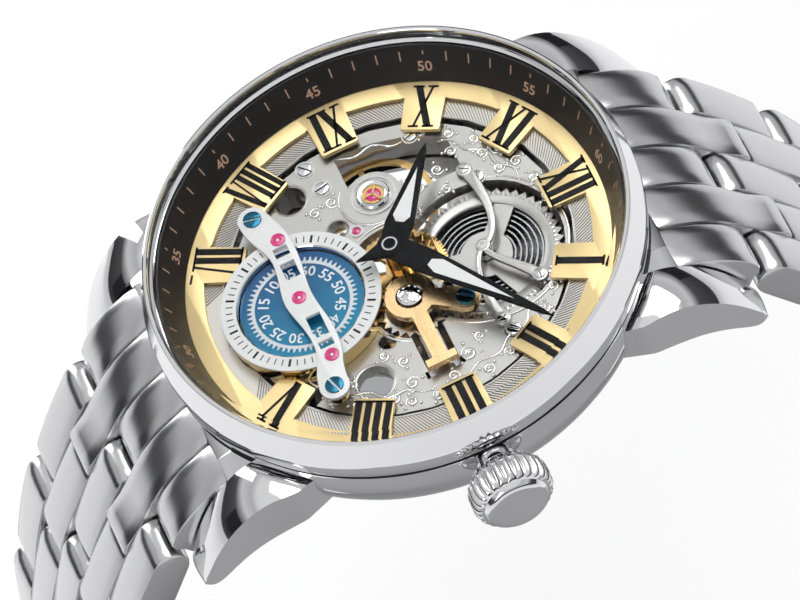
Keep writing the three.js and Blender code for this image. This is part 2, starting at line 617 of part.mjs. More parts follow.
function springBarAt(side, radius, half) {
  return rodX(radius, -half, half, side * 23.3, -0.1, 12);
}

function bezel() {
  const base = DIAL_Z + 0.62;
  const seat = DIAL_Z + 3.14;
  return turned([
    [REHAUT.outer + GAP, base], [BEZEL_R - 0.25, base], [BEZEL_R, base + 0.3], [BEZEL_R, DIAL_Z + 2.32],
    [BEZEL_TOP_R, DIAL_Z + 4.66], [CRYSTAL_R + GAP, DIAL_Z + 4.66], [CRYSTAL_R + GAP, seat],
    [REHAUT.outer + GAP, seat],
  ]);
}

function crystal() {
  const low = DIAL_Z + 3.2;
  const high = DIAL_Z + 4.95;
  return turned([[0, low], [CRYSTAL_R, low], [CRYSTAL_R, high - 0.45], [CRYSTAL_R - 0.75, high], [0, high]]);
}

function caseBack() {
  return turned([
    [13.6, 0], [17.4, 0], [18.6, 0.5], [18.6, 1.29], [17.5, 1.29], [17.5, 1.7], [16.9, 1.7], [16.9, 0.6], [13.6, 0.6],
  ]);
}

function backGlass() {
  const corners = 27; // an odd count leaves the middle inside one facet
  const window = polygon(Array.from({ length: corners }, (_, i) => {
    const at = polar(CENTER, 13.48, (i * TAU) / corners);
    return [at.x, at.y];
  }));
  return disc(CENTER, 16.8, 0.66, 1.5, SIDES).add(plate(window, 0, 0.8));
}

function crown() {
  const shape = new THREE.Shape();
  for (let i = 0; i < CROWN.flutes; i++) {
    const at = (i * TAU) / CROWN.flutes;
    const step = TAU / CROWN.flutes;
    for (const [part, radius] of [[0, 1], [0.5, 0.94]]) {
      const point = polar(CENTER, CROWN.r * radius, at + part * step);
      if (i + part === 0) shape.moveTo(point.x, point.y);
      else shape.lineTo(point.x, point.y);
    }
  }
  const knurl = plate(shape, 0.35, 3.1);
  const cap = turned([[0, 3], [3.1, 3], [3.1, 3.25], [2.5, 3.6], [0, 3.6]], 16);
  const collar = turned([[0, 0], [3.0, 0], [3.0, 0.4], [0, 0.4]], 16);
  const socket = disc(CENTER, STEM_R + GAP, -1, 1.6, 10);
  return union([knurl, cap, collar]).subtract(socket).rotate([0, 90, 0])
    .translate([CROWN.start, 0, DIAL_Z + CROWN.z]);
}

function stem() {
  const z = DIAL_Z + CROWN.z;
  const body = rodX(STEM_R, 11.4, CROWN.start + 1.5, 0, z, 12);
  const groove = rodX(2, 15.4, 15.9, 0, z, 12).subtract(rodX(0.38, 15, 16, 0, z, 10));
  return body.subtract(groove);
}

// Small fork that sits in the stem's groove and travels with it.
function settingLever() {
  const z = DIAL_Z + CROWN.z;
  const leaf = block(15.52, 15.78, -0.75, 0.75, z - 1.2, z + 0.55);
  const slot = block(15, 16, -0.44, 0.44, z - 0.5, z + 2);
  return leaf.subtract(slot);
}

// ---- Bracelet -----------------------------------------------------------------------------------
// Pins of one side of the loop in the plane of Y and Z, from the case to the clasp.
function pinsAlong(angles) {
  return angles.reduce((pins, degrees) => {
    const angle = THREE.MathUtils.degToRad(degrees);
    const last = pins[pins.length - 1];
    return [...pins, new THREE.Vector2(last.x + LINK.pitch * Math.cos(angle), last.y - LINK.pitch * Math.sin(angle))];
  }, [FIRST_PIN]);
}
const PINS = pinsAlong(LINK_ANGLES);
const END_PIN = PINS[PINS.length - 1];
// The clasp is drawn where it sits on a closed bracelet, and hung from the last pin afterwards.
const CLASP_PIN = pinsAlong(CLOSED_ANGLES).pop();
const CLASP_TURN = CLOSED_ANGLES[CLOSED_ANGLES.length - 1] - LINK_ANGLES[LINK_ANGLES.length - 1];

function hung(body) {
  return body.translate([0, -CLASP_PIN.x, -CLASP_PIN.y]).rotate([CLASP_TURN, 0, 0]).translate([0, END_PIN.x, END_PIN.y]);
}

// A profile in the plane of Y and Z, raised along X.
function acrossX(shape, x0, x1, curveSegments = 2) {
  const raised = new THREE.ExtrudeGeometry(shape, { depth: x1 - x0, bevelEnabled: false, curveSegments });
  const turn = new THREE.Matrix4().set(0, 0, 1, x0, 1, 0, 0, 0, 0, 1, 0, 0, 0, 0, 0, 1);
  return solid(raised.applyMatrix4(turn));
}

const OUTER_COLUMNS = COLUMNS.filter((_, i) => i % 2 === 0);
const INNER_COLUMNS = COLUMNS.filter((_, i) => i % 2 === 1);

// One link, laid flat: its own pin at the origin and the next link's pin one pitch along +Y.
function flatLink() {
  const { pitch, half, gap } = LINK;
  const at = (s) => new THREE.Vector2(s, 0);
  const outer = barShape(at(0), at(pitch - 2 * half - gap), half);
  const inner = barShape(at(pitch / 2), at(pitch + 2), half);
  const bars = [
    ...OUTER_COLUMNS.map(([x0, x1]) => acrossX(outer, x0, x1)),
    ...INNER_COLUMNS.map(([x0, x1]) => acrossX(inner, x0, x1)),
  ];
  const hole = rodX(LINK.holeR, -7, 7, pitch, 0, 6).subtract(block(-2.2, 2.2, 0, 20, -2, 2));
  const core = block(-10, 10, 5.9, 7.4, -1.2, 1.2);
  return union([cut(union(bars), [hole]), core, rodX(LINK.pinR, -10, 10, 0, 0, 6)]);
}

function placedLink(flat, index, side) {
  const pin = PINS[index];
  const turned = flat.rotate([-LINK_ANGLES[index], 0, 0]).translate([0, pin.x, pin.y]);
  return side < 0 ? turned.mirror([0, 1, 0]) : turned;
}

function endLink(side) {
  const rear = [[24.9, -2.6], [22, -1.6], [16.5, 1.6]];
  const short = polygon([[16.5, 4.7], [20.9, 4.3], [23.6, 3.1], [25.4, 1.4], [26.4, -0.4], [25.6, -1.2], ...rear]);
  const end = new THREE.Vector2(FIRST_PIN.x + 1.3, FIRST_PIN.y - 1.55);
  const long = polygon([[16.5, 4.7], [20.9, 4.3], [23.6, 3.1], [25.4, 1.4], [27.6, -1.2]]);
  long.absarc(end.x, end.y, 1.7, 0.7, 0.7 - Math.PI, true);
  long.lineTo(24.6, -3.6);
  rear.slice(1).forEach(([y, z]) => long.lineTo(y, z));
  const bars = [
    ...OUTER_COLUMNS.map(([x0, x1]) => acrossX(short, x0, x1)),
    ...INNER_COLUMNS.map(([x0, x1]) => acrossX(long, x0, x1)),
  ];
  const core = block(-10, 10, 21.8, 23.2, 0.6, 2.4);
  const body = cut(union([...bars, core]), [
    disc(CENTER, BEZEL_R - 0.05, -6, 9, SIDES),
    rodX(LINK.holeR, -12, 12, FIRST_PIN.x, FIRST_PIN.y, 6),
    rodX(0.56, -12, 12, 23.3, -0.1, 8),
  ]);
  return side < 0 ? body.mirror([0, 1, 0]) : body;
}

// ---- Clasp --------------------------------------------------------------------------------------
const claspR = Math.hypot(CLASP_PIN.x, CLASP_PIN.y - CLASP_CENTER_Z);
const claspAngle = Math.asin(CLASP_PIN.x / claspR);
const COVER_HINGE = claspPoint(claspR - 1.25, -14.7 / claspR);
const BLADE_HINGE = claspPoint(claspR - 3.05, 13.65 / claspR);

// A point on the clasp's arc, by its radius and its angle from straight down, towards +Y.
function claspPoint(radius, angle) {
  return new THREE.Vector2(radius * Math.sin(angle), CLASP_CENTER_Z - radius * Math.cos(angle));
}

function arcBand(inner, outer, from, to, x0, x1) {
  const shape = new THREE.Shape();
  shape.absarc(0, CLASP_CENTER_Z, outer, from - Math.PI / 2, to - Math.PI / 2, false);
  shape.absarc(0, CLASP_CENTER_Z, inner, to - Math.PI / 2, from - Math.PI / 2, true);
  return acrossX(shape, x0, x1, 4);
}

function knuckle(at, radius, x0, x1) {
  return rodX(radius, x0, x1, at.x, at.y, 8);
}

function claspCover() {
  const start = claspAngle - 4.3 / claspR;
  const skin = arcBand(claspR - 0.2, claspR + 1, -15.8 / claspR, start, -10, 10);
  const walls = [[-10, -9.1], [9.1, 10]].map(([x0, x1]) => arcBand(claspR - 2.3, claspR, -12 / claspR, start - 0.02, x0, x1));
  const reach = claspPoint(claspR + 0.1, start - 0.03);
  const lugs = OUTER_COLUMNS.map(([x0, x1]) => acrossX(barShape(CLASP_PIN, reach, LINK.half, 0.85), x0, x1));
  const ears = [[-6, -3.2], [3.2, 6]].map(([x0, x1]) => knuckle(COVER_HINGE, 1.2, x0, x1));
  const body = union([skin, ...walls, ...lugs, ...ears, rodX(LINK.pinR, -10, 10, CLASP_PIN.x, CLASP_PIN.y, 6)]);
  const notches = [-1, 1].map((side) => {
    const notch = block(8.9, 10.3, -1.75, 1.75, CLASP_CENTER_Z - claspR + 0.55, CLASP_CENTER_Z - claspR + 4);
    return side < 0 ? notch.mirror([1, 0, 0]) : notch;
  });
  return cut(body, [knuckle(COVER_HINGE, 0.56, -6.2, 6.2), ...notches]);
}

function claspBladeOuter() {
  const band = arcBand(claspR - 2.2, claspR - 1.6, -14.4 / claspR, 13.5 / claspR, -6, 6);
  const clear = [[-6.2, -3.1], [3.1, 6.2]].map(([x0, x1]) => knuckle(COVER_HINGE, 1.35, x0, x1));
  const ears = [[-6, -3.2], [3.2, 6]].map(([x0, x1]) => knuckle(BLADE_HINGE, 0.95, x0, x1));
  const trimmed = cut(band, [...clear, knuckle(BLADE_HINGE, 1.1, -3.1, 3.1)]);
  const body = union([trimmed, ...ears, knuckle(COVER_HINGE, 0.95, -3, 3), knuckle(COVER_HINGE, 0.45, -5.9, 5.9)]);
  return body.subtract(knuckle(BLADE_HINGE, 0.52, -6.2, 6.2));
}

function claspBladeInner() {
  const band = arcBand(claspR - 4.5, claspR - 3.75, -16.8 / claspR, 13.5 / claspR, -6, 6);
  const clear = [[-6.2, -3.1], [3.1, 6.2]].map(([x0, x1]) => knuckle(BLADE_HINGE, 1.1, x0, x1));
  const anchor = new THREE.Vector2(-CLASP_PIN.x, CLASP_PIN.y);
  const arm = acrossX(barShape(claspPoint(claspR - 4.1, -15 / claspR), anchor, 0.5, LINK.half - 0.2), -2, 2);
  return union([
    cut(band, clear), arm, knuckle(BLADE_HINGE, 0.95, -3, 3), knuckle(BLADE_HINGE, 0.42, -5.9, 5.9),
  ]);
}

function claspButton(side) {
  const floor = CLASP_CENTER_Z - claspR;
  const body = block(7.3, 10.7, -1.6, 1.6, floor + 0.7, floor + 2);
  return side < 0 ? body.mirror([1, 0, 0]) : body;
}

// ---- Assembly -----------------------------------------------------------------------------------
const watch = new THREE.Group();
const movement = new THREE.Group();
movement.position.z = DIAL_Z;
watch.add(movement);

function add(group, name, manifold, material) {
  const mesh = new THREE.Mesh(geometryOf(manifold), material());
  mesh.name = name;
  group.add(mesh);
}

const movementNodes = [
  ["main_plate", mainPlate(), NICKEL],
  ["movement_ring", movementRing(), BRUSHED],
  ["hatched_ring", hatchedRing(), BRUSHED],
  ["train_bridge", trainBridge(), NICKEL],
  ["balance_cock", balanceCock(), NICKEL],
  ["barrel_drum", barrelDrum(), NICKEL],
  ["barrel_arbor", barrelArbor(), STEEL],
  ["mainspring", mainspring(), STEEL],
  ["barrel_cock", barrelCock(), STEEL],
  ["ratchet_wheel", ratchet(), STEEL],
  ["crown_wheel", crownWheel(), STEEL],
  ["click", click(), STEEL],
  ["center_wheel", centerWheel(), BRASS],
  ["third_wheel", thirdWheel(), BRASS],
  ["fourth_wheel", fourthWheel(), BRASS],
  ["escape_wheel", escapeWheel(), STEEL],
  ["pallet_fork", palletFork(), STEEL],
  ["balance_wheel", balanceWheel(), BRASS],
  ["hairspring", hairspring(), STEEL],
  ["minute_wheel", minuteWheel(), STEEL],
  ["hour_wheel", hourWheel(), BRASS],
  ["cannon_pinion", cannonPinion(), STEEL],
  ["key_bridge", keyBridge(), GOLD],
  ["chapter_ring", chapterRing(), GOLD],
  ["rehaut", rehaut(), BLACK],
  ["seconds_seat", secondsSeat(), GOLD],
  ["seconds_ring", secondsRing(), WHITE],
  ["seconds_disc", secondsDisc(), BLUE],
  ["seconds_bridge", secondsBridge(), WHITE],
  ["hour_hand", hand(10.35, 2.5, 0.87, 308, 2.02, 2.24), BLACK],
  ["minute_hand", hand(16.2, 2.3, 0.62, 55.5, 2.44, 2.66), BLACK],
];
movementNodes.forEach(([name, body, material]) => add(movement, name, body, material));

const caseNodes = [
  ["case_middle", caseMiddle(), STEEL],
  ["bezel", bezel(), STEEL],
  ["crystal", crystal(), SAPPHIRE],
  ["case_back", caseBack(), STEEL],
  ["back_glass", backGlass(), SAPPHIRE],
  ["crown", crown(), STEEL],
  ["winding_stem", stem(), STEEL],
  ["setting_lever", settingLever(), STEEL],
  ["spring_bar_12", springBarAt(1, 0.45, 12.3), STEEL],
  ["spring_bar_6", springBarAt(-1, 0.45, 12.3), STEEL],
  ["clasp_cover", hung(claspCover()), BRUSHED],
  ["clasp_blade_outer", hung(claspBladeOuter()), BRUSHED],
  ["clasp_blade_inner", hung(claspBladeInner()), BRUSHED],
  ["clasp_button_right", hung(claspButton(1)), STEEL],
  ["clasp_button_left", hung(claspButton(-1)), STEEL],
];
caseNodes.forEach(([name, body, material]) => add(watch, name, body, material));

const link = flatLink();
for (const [label, side] of [["12", 1], ["6", -1]]) {
  add(watch, `end_link_${label}`, endLink(side), STEEL);
  LINK_ANGLES.forEach((_, index) => {
    add(watch, `link_${label}_${index + 1}`, placedLink(link, index, side), STEEL);
  });
}

export default watch;
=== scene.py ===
"""Looks of the skeleton wristwatch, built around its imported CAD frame."""

import math

import bmesh
import bpy
from mathutils import Matrix, Vector


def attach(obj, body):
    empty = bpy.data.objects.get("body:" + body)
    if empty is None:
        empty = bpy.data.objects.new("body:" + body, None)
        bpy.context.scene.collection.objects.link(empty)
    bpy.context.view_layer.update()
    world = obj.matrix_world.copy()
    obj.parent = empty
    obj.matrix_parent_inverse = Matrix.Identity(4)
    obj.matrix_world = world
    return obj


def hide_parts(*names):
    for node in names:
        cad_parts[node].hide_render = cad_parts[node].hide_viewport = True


MM = 0.001
TAU = math.tau
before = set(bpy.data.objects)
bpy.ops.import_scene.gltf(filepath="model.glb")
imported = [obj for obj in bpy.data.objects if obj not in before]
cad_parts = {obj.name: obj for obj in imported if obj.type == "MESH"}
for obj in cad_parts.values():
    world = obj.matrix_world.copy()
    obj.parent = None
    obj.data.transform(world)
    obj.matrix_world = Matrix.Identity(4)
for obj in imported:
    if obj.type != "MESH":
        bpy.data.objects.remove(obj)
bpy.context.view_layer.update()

# ---- Driving dimensions, in millimetres ----------------------------------------------------------
DIAL_Z = 6.5
CRYSTAL_R = 19.85
BAND_IN = 16.2
TAB_IN = 13.0
TAB_WIDTH = 3.3
REHAUT_FOOT = 17.8
REHAUT_LIP = 19.3
REHAUT_TOP = 3.1
LUG_IN = 11.25
LUG_OUT = 15.8
CENTER = (0.0, 0.0)
BARREL = (1.95, 6.8)
MINUTE = (3.9, -0.3)
SECONDS = (0.0, -8.45)
PALLET = (-5.2, -1.82)
BALANCE = (-7.75, 0.72)
KEY_SCREW = (6.35, 3.7)
CROWN_START = 21.9
CROWN_Z = 4.6
PITCH = 11.3
HALF = 1.70
SWELL = 0.11
COLUMNS = [(-11, -6.75), (-6.6, -2.25), (-2.1, 2.1), (2.25, 6.6), (6.75, 11)]
FIRST_PIN = (27.3, -3.0)
LINK_ANGLES = [57, 68, 80, 88, 90, 90]
FLOOR_Z = -107.0


# ---- Materials -----------------------------------------------------------------------------------
def nodes_of(name):
    material = bpy.data.materials.new(name)
    material.use_nodes = True
    tree = material.node_tree
    return material, tree, tree.nodes["Principled BSDF"]


def add_node(tree, kind, **values):
    node = tree.nodes.new(kind)
    for key, value in values.items():
        node.inputs[key.replace("_", " ")].default_value = value
    return node


def grain(tree, scale, stretch, detail=4.0):
    """Noise stretched along one axis of the part's frame, for brushed and rolled surfaces."""
    where = tree.nodes.new("ShaderNodeTexCoord")
    mapping = tree.nodes.new("ShaderNodeMapping")
    mapping.inputs["Scale"].default_value = stretch
    noise = add_node(tree, "ShaderNodeTexNoise", Scale=scale, Detail=detail, Roughness=0.6)
    tree.links.new(where.outputs["Object"], mapping.inputs["Vector"])
    tree.links.new(mapping.outputs["Vector"], noise.inputs["Vector"])
    return noise.outputs["Fac"]


def spread(tree, value, low, high):
    node = tree.nodes.new("ShaderNodeMapRange")
    node.inputs["From Min"].default_value = 0.3
    node.inputs["From Max"].default_value = 0.7
    node.inputs["To Min"].default_value = low
    node.inputs["To Max"].default_value = high
    tree.links.new(value, node.inputs["Value"])
    return node.outputs["Result"]


def bump(tree, shader, height, strength, distance):
    node = add_node(tree, "ShaderNodeBump", Strength=strength, Distance=distance)
    tree.links.new(height, node.inputs["Height"])
    tree.links.new(node.outputs["Normal"], shader.inputs["Normal"])


def metal(name, color, low, high, scale=900.0, stretch=(1, 1, 1), relief=0.0):
    """A metal whose roughness wanders between low and high along its grain."""
    material, tree, shader = nodes_of(name)
    shader.inputs["Base Color"].default_value = (*color, 1)
    shader.inputs["Metallic"].default_value = 1
    value = grain(tree, scale, stretch)
    tree.links.new(spread(tree, value, low, high), shader.inputs["Roughness"])
    if relief:
        bump(tree, shader, value, relief, 0.00002)
    return material


def paint(name, color, rough, coat=0.0, metallic=0.0, gloss=0.5):
    material, tree, shader = nodes_of(name)
    shader.inputs["Specular IOR Level"].default_value = gloss
    shader.inputs["Base Color"].default_value = (*color, 1)
    shader.inputs["Metallic"].default_value = metallic
    shader.inputs["Coat Weight"].default_value = coat
    shader.inputs["Coat Roughness"].default_value = 0.05
    value = grain(tree, 1500.0, (1, 1, 1), 3.0)
    tree.links.new(spread(tree, value, rough * 0.85, rough * 1.15), shader.inputs["Roughness"])
    return material


POLISHED = metal("polished steel", (0.79, 0.79, 0.80), 0.05, 0.08, 120.0)
SATIN = metal("satin steel", (0.62, 0.62, 0.63), 0.18, 0.23, 300.0, (1, 0.2, 0.2))
BRUSHED = metal("brushed steel", (0.66, 0.66, 0.67), 0.22, 0.34, 900.0, (1, 0.06, 0.06), 0.05)
NICKEL = metal("frosted nickel", (0.47, 0.46, 0.44), 0.30, 0.38, 2600.0, (1, 1, 1), 0.03)
ENGRAVED = metal("bright cut edges", (0.86, 0.85, 0.83), 0.10, 0.16, 2000.0)
# Painted shade: steel darkened to stand in for the shade on the barrel's floor and at the bottom of screw
# slots.
PAINTED_SHADE_STEEL = metal("steel darkened as painted shade", (0.16, 0.16, 0.17), 0.20, 0.30, 1500.0)
WHEEL_STEEL = metal("wheel steel", (0.56, 0.56, 0.56), 0.20, 0.28, 1500.0)
SPRING = metal("spring strip", (0.50, 0.50, 0.51), 0.18, 0.24, 1500.0)
GOLD = metal("pale gold plate", (0.80, 0.62, 0.32), 0.36, 0.40, 3000.0)
EDGE_GOLD = metal("polished gold edge", (0.90, 0.66, 0.30), 0.08, 0.13, 900.0)
BRASS = metal("gilded brass", (0.88, 0.58, 0.24), 0.14, 0.22, 1500.0)
KEY_GOLD = metal("brushed gold", (0.90, 0.63, 0.33), 0.20, 0.30, 1200.0, (0.2, 1, 1), 0.03)
HATCH = metal("hatched grey ring", (0.60, 0.57, 0.53), 0.34, 0.40, 1800.0)
HATCH_LINE = metal("hatch lines", (0.20, 0.185, 0.17), 0.40, 0.46, 1800.0)
# Black print; the same material also paints the shade in the case groove.
BLACK = paint("black print and painted groove shade", (0.008, 0.007, 0.008), 0.45, 0.0, 0.0, 0.2)
REHAUT_BLACK = paint("matte black flange", (0.016, 0.013, 0.014), 0.42)
COPPER = paint("copper print", (0.66, 0.42, 0.29), 0.45)
HAND_BLACK = paint("black lacquered hand", (0.005, 0.005, 0.006), 0.55, 0.0, 0.0, 0.15)
LUME = paint("white lume", (0.86, 0.87, 0.86), 0.55)
WHITE = paint("white enamel", (0.84, 0.84, 0.83), 0.22, 0.4)
SILVER_PRINT = paint("silver print", (0.62, 0.64, 0.66), 0.35, 0.0, 0.4)
BLUED = metal("blued steel", (0.03, 0.15, 0.24), 0.12, 0.20, 900.0)


def blue_lacquer_painted_sheen():
    """Deep blue lacquer that turns lighter towards teal on one side of the disc; the lighter side is a
    painted sheen.
    """
    material, tree, shader = nodes_of("blue lacquer with painted sheen")
    where = tree.nodes.new("ShaderNodeTexCoord")
    split = tree.nodes.new("ShaderNodeSeparateXYZ")
    ramp = tree.nodes.new("ShaderNodeValToRGB")
    scale = tree.nodes.new("ShaderNodeMapRange")
    scale.inputs["From Min"].default_value = -0.005
    scale.inputs["From Max"].default_value = 0.005
    # The teal end of the ramp, on the disc's +X side, is painted sheen.
    ramp.color_ramp.elements[0].color = (0.002, 0.075, 0.25, 1)
    ramp.color_ramp.elements[1].color = (0.002, 0.25, 0.42, 1)
    tree.links.new(where.outputs["Object"], split.inputs["Vector"])
    tree.links.new(split.outputs["X"], scale.inputs["Value"])
    tree.links.new(scale.outputs["Result"], ramp.inputs["Fac"])
    tree.links.new(ramp.outputs["Color"], shader.inputs["Base Color"])
    shader.inputs["Metallic"].default_value = 0.35
    shader.inputs["Roughness"].default_value = 0.22
    shader.inputs["Coat Weight"].default_value = 0.6
    return material


def thin_window():
    """The crystal: see-through with a faint anti-reflection sheen."""
    material, _, shader = nodes_of("sapphire crystal")
    shader.inputs["Roughness"].default_value = 0.0
    shader.inputs["IOR"].default_value = 1.08
    shader.inputs["Transmission Weight"].default_value = 1
    shader.inputs["Base Color"].default_value = (0.99, 1, 1, 1)
    return material


BLUE = blue_lacquer_painted_sheen()
CRYSTAL = thin_window()
RUBY = paint("ruby", (0.72, 0.015, 0.20), 0.08, 1.0)


# ---- Mesh helpers --------------------------------------------------------------------------------
# Faces of a block whose eight corners come as two rings of four.
BLOCK_FACES = ((0, 3, 2, 1), (4, 5, 6, 7), (0, 1, 5, 4), (1, 2, 6, 5), (2, 3, 7, 6), (3, 0, 4, 7))


def shifted(faces, base):
    return [tuple(base + k for k in face) for face in faces]


def stitched(rings, size, base=0):
    """Faces between neighbouring rings of points, each ring closed on itself."""
    faces = []
    for j in range(rings - 1):
        for k in range(size):
            a = base + j * size + k
            b = base + j * size + (k + 1) % size
            faces.append((a, b, b + size, a + size))
    return faces


def ends(rings, size):
    """The two faces that close a stack of rings."""
    return [tuple(reversed(range(size))), tuple(range((rings - 1) * size, rings * size))]


def object_from(name, vertices, faces, material, body, smooth=30):
    mesh = bpy.data.meshes.new(name)
    mesh.from_pydata([Vector(v) * MM for v in vertices], [], faces)
    mesh.validate()
    mesh.update()
    piece = bpy.data.objects.new(name, mesh)
    bpy.context.scene.collection.objects.link(piece)
    return finish_piece(piece, material, body, smooth)


def finish_piece(piece, material, body, smooth=30):
    piece.data.materials.clear()
    piece.data.materials.append(material)
    if smooth:
        piece.data.shade_smooth()
        piece.data.set_sharp_from_angle(angle=math.radians(smooth))
    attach(piece, body)
    return piece


def join(name, pieces):
    """One object from several of one material; the first one's body and slot stay."""
    bpy.ops.object.select_all(action="DESELECT")
    for piece in pieces:
        piece.select_set(True)
    bpy.context.view_layer.objects.active = pieces[0]
    if len(pieces) > 1:
        bpy.ops.object.join()
    pieces[0].name = name
    return pieces[0]


def square(inner, outer, low, high):
    """Corners of a rectangle, as the (radius, height) section of a flat ring or of a bar."""
    return [(inner, low), (outer, low), (outer, high), (inner, high)]


def lathe(name, profile, material, body, steps=128, center=CENTER, z=DIAL_Z, smooth=30,
          closed=True):
    """Turns a closed (radius, height) profile about a vertical axis."""
    vertices = []
    for i in range(steps):
        angle = i * TAU / steps
        for radius, height in profile:
            r = max(radius, 0.0)
            vertices.append((center[0] + r * math.cos(angle), center[1] + r * math.sin(angle), height + z))
    n = len(profile)
    faces = []
    spans = n if closed else n - 1
    for i in range(steps):
        a = i * n
        b = ((i + 1) % steps) * n
        for k in range(spans):
            m = (k + 1) % n
            faces.append((a + k, b + k, b + m, a + m))
    return solid_from(name, vertices, faces, material, body, smooth)


def solid_from(name, vertices, faces, material, body, smooth):
    piece = object_from(name, vertices, faces, material, body, 0)
    clean(piece)
    return finish_piece(piece, material, body, smooth)


def clean(piece):
    """Welds points that coincide, as on a turned piece's axis, and drops faces without area."""
    work = bmesh.new()
    work.from_mesh(piece.data)
    bmesh.ops.remove_doubles(work, verts=work.verts, dist=1e-7)
    bmesh.ops.dissolve_degenerate(work, edges=work.edges, dist=1e-8)
    bmesh.ops.recalc_face_normals(work, faces=work.faces)
    work.to_mesh(piece.data)
    work.free()


def flat(name, loops, low, high, material, body, bevel=0.0, z=DIAL_Z, smooth=40, segments=2):
    """A plate between two heights from an outline and its holes, with an optional rounded edge."""
    curve = bpy.data.curves.new(name, "CURVE")
    curve.dimensions = "2D"
    curve.fill_mode = "BOTH"
    curve.extrude = max((high - low) / 2 - bevel, 0.0001) * MM
    curve.bevel_depth = bevel * MM
    curve.bevel_resolution = segments
    curve.offset = -bevel * MM
    for loop in loops:
        line = curve.splines.new("POLY")
        line.points.add(len(loop) - 1)
        for point, (x, y) in zip(line.points, loop):
            point.co = (x * MM, y * MM, 0, 1)
        line.use_cyclic_u = True
    holder = bpy.data.objects.new(name, curve)
    bpy.context.scene.collection.objects.link(holder)
    bpy.context.view_layer.update()
    shown = holder.evaluated_get(bpy.context.evaluated_depsgraph_get())
    mesh = bpy.data.meshes.new_from_object(shown)
    bpy.data.objects.remove(holder)
    mesh.transform(Matrix.Translation((0, 0, ((low + high) / 2 + z) * MM)))
    piece = bpy.data.objects.new(name, mesh)
    bpy.context.scene.collection.objects.link(piece)
    clean(piece)
    return finish_piece(piece, material, body, smooth)


def ring(center, radius, steps=96, start=0.0):
    return [
        (center[0] + radius * math.cos(start + i * TAU / steps),
         center[1] + radius * math.sin(start + i * TAU / steps))
        for i in range(steps)
    ]


def polar(center, radius, angle):
    return (center[0] + radius * math.cos(angle), center[1] + radius * math.sin(angle))


def arc(center, radius, start, end, steps=24):
    return [polar(center, radius, start + (end - start) * i / steps) for i in range(steps + 1)]


def toothed(center, radius, teeth, depth, phase=0.0):
    points = []
    step = TAU / teeth
    for i in range(teeth):
        at = phase + i * step
        points.append(polar(center, radius - depth, at - 0.30 * step))
        points.append(polar(center, radius, at - 0.10 * step))
        points.append(polar(center, radius, at + 0.10 * step))
        points.append(polar(center, radius - depth, at + 0.30 * step))
    return points


def sector_windows(center, count, inner, outer, spoke, phase=0.0, steps=16):
    loops = []
    for i in range(count):
        a = phase + i * TAU / count
        b = a + TAU / count
        out = spoke / 2 / outer
        inn = spoke / 2 / inner
        loops.append(arc(center, outer, a + out, b - out,
                         steps) + arc(center, inner, b - inn, a + inn, steps))
    return loops


def boxes(name, items, material, body, z=DIAL_Z):
    """Many small blocks in one mesh: each is (center, along, half length, half width, low, high)."""
    vertices = []
    faces = []
    for (x, y), along, hl, hw, low, high in items:
        c, s = math.cos(along), math.sin(along)
        base = len(vertices)
        for height in (low, high):
            for u, v in ((-hl, -hw), (hl, -hw), (hl, hw), (-hl, hw)):
                vertices.append((x + u * c - v * s, y + u * s + v * c, height + z))
        faces += shifted(BLOCK_FACES, base)
    return object_from(name, vertices, faces, material, body, 0)


def domes(name, items, material, body, z=DIAL_Z, rings=4, sides=14):
    """Low rounded studs in one mesh: each is (center, radius, foot, height)."""
    vertices = []
    faces = []
    for (x, y), radius, foot, height in items:
        base = len(vertices)
        for k in range(rings):
            tilt = k / rings * math.pi / 2
            for i in range(sides):
                a = i * TAU / sides
                r = radius * math.cos(tilt)
                vertices.append((x + r * math.cos(a), y + r * math.sin(a),
                                 foot + height * math.sin(tilt) + z))
        top = len(vertices)
        vertices.append((x, y, foot + height + z))
        faces += stitched(rings, sides, base)
        last = base + (rings - 1) * sides
        for i in range(sides):
            faces.append((last + i, last + (i + 1) % sides, top))
        faces.append(tuple(base + i for i in reversed(range(sides))))
    return object_from(name, vertices, faces, material, body, 60)


def tube(name, paths, radius, material, body, z=DIAL_Z, sides=6, flatten=1.0):
    """Thin raised lines in one mesh; each path is a list of (x, y, height)."""
    vertices = []
    faces = []
    for path in paths:
        base = len(vertices)
        n = len(path)
        for i, (x, y, h) in enumerate(path):
            ax, ay, _ = path[max(i - 1, 0)]
            bx, by, _ = path[min(i + 1, n - 1)]
            along = math.atan2(by - ay, bx - ax)
            thin = radius * min(1.0, 0.35 + 1.3 * min(i, n - 1 - i) / n * 2)
            for k in range(sides):
                t = k * TAU / sides
                side = thin * math.cos(t)
                vertices.append((x - math.sin(along) * side, y + math.cos(along) * side,
                                 h + thin * flatten * math.sin(t) + z))
        for i in range(n - 1):
            for k in range(sides):
                m = (k + 1) % sides
                a = base + i * sides
                faces.append((a + k, a + sides + k, a + sides + m, a + m))
        faces.append(tuple(base + k for k in range(sides)))
        faces.append(tuple(base + (n - 1) * sides + k for k in reversed(range(sides))))
    return object_from(name, vertices, faces, material, body, 60)


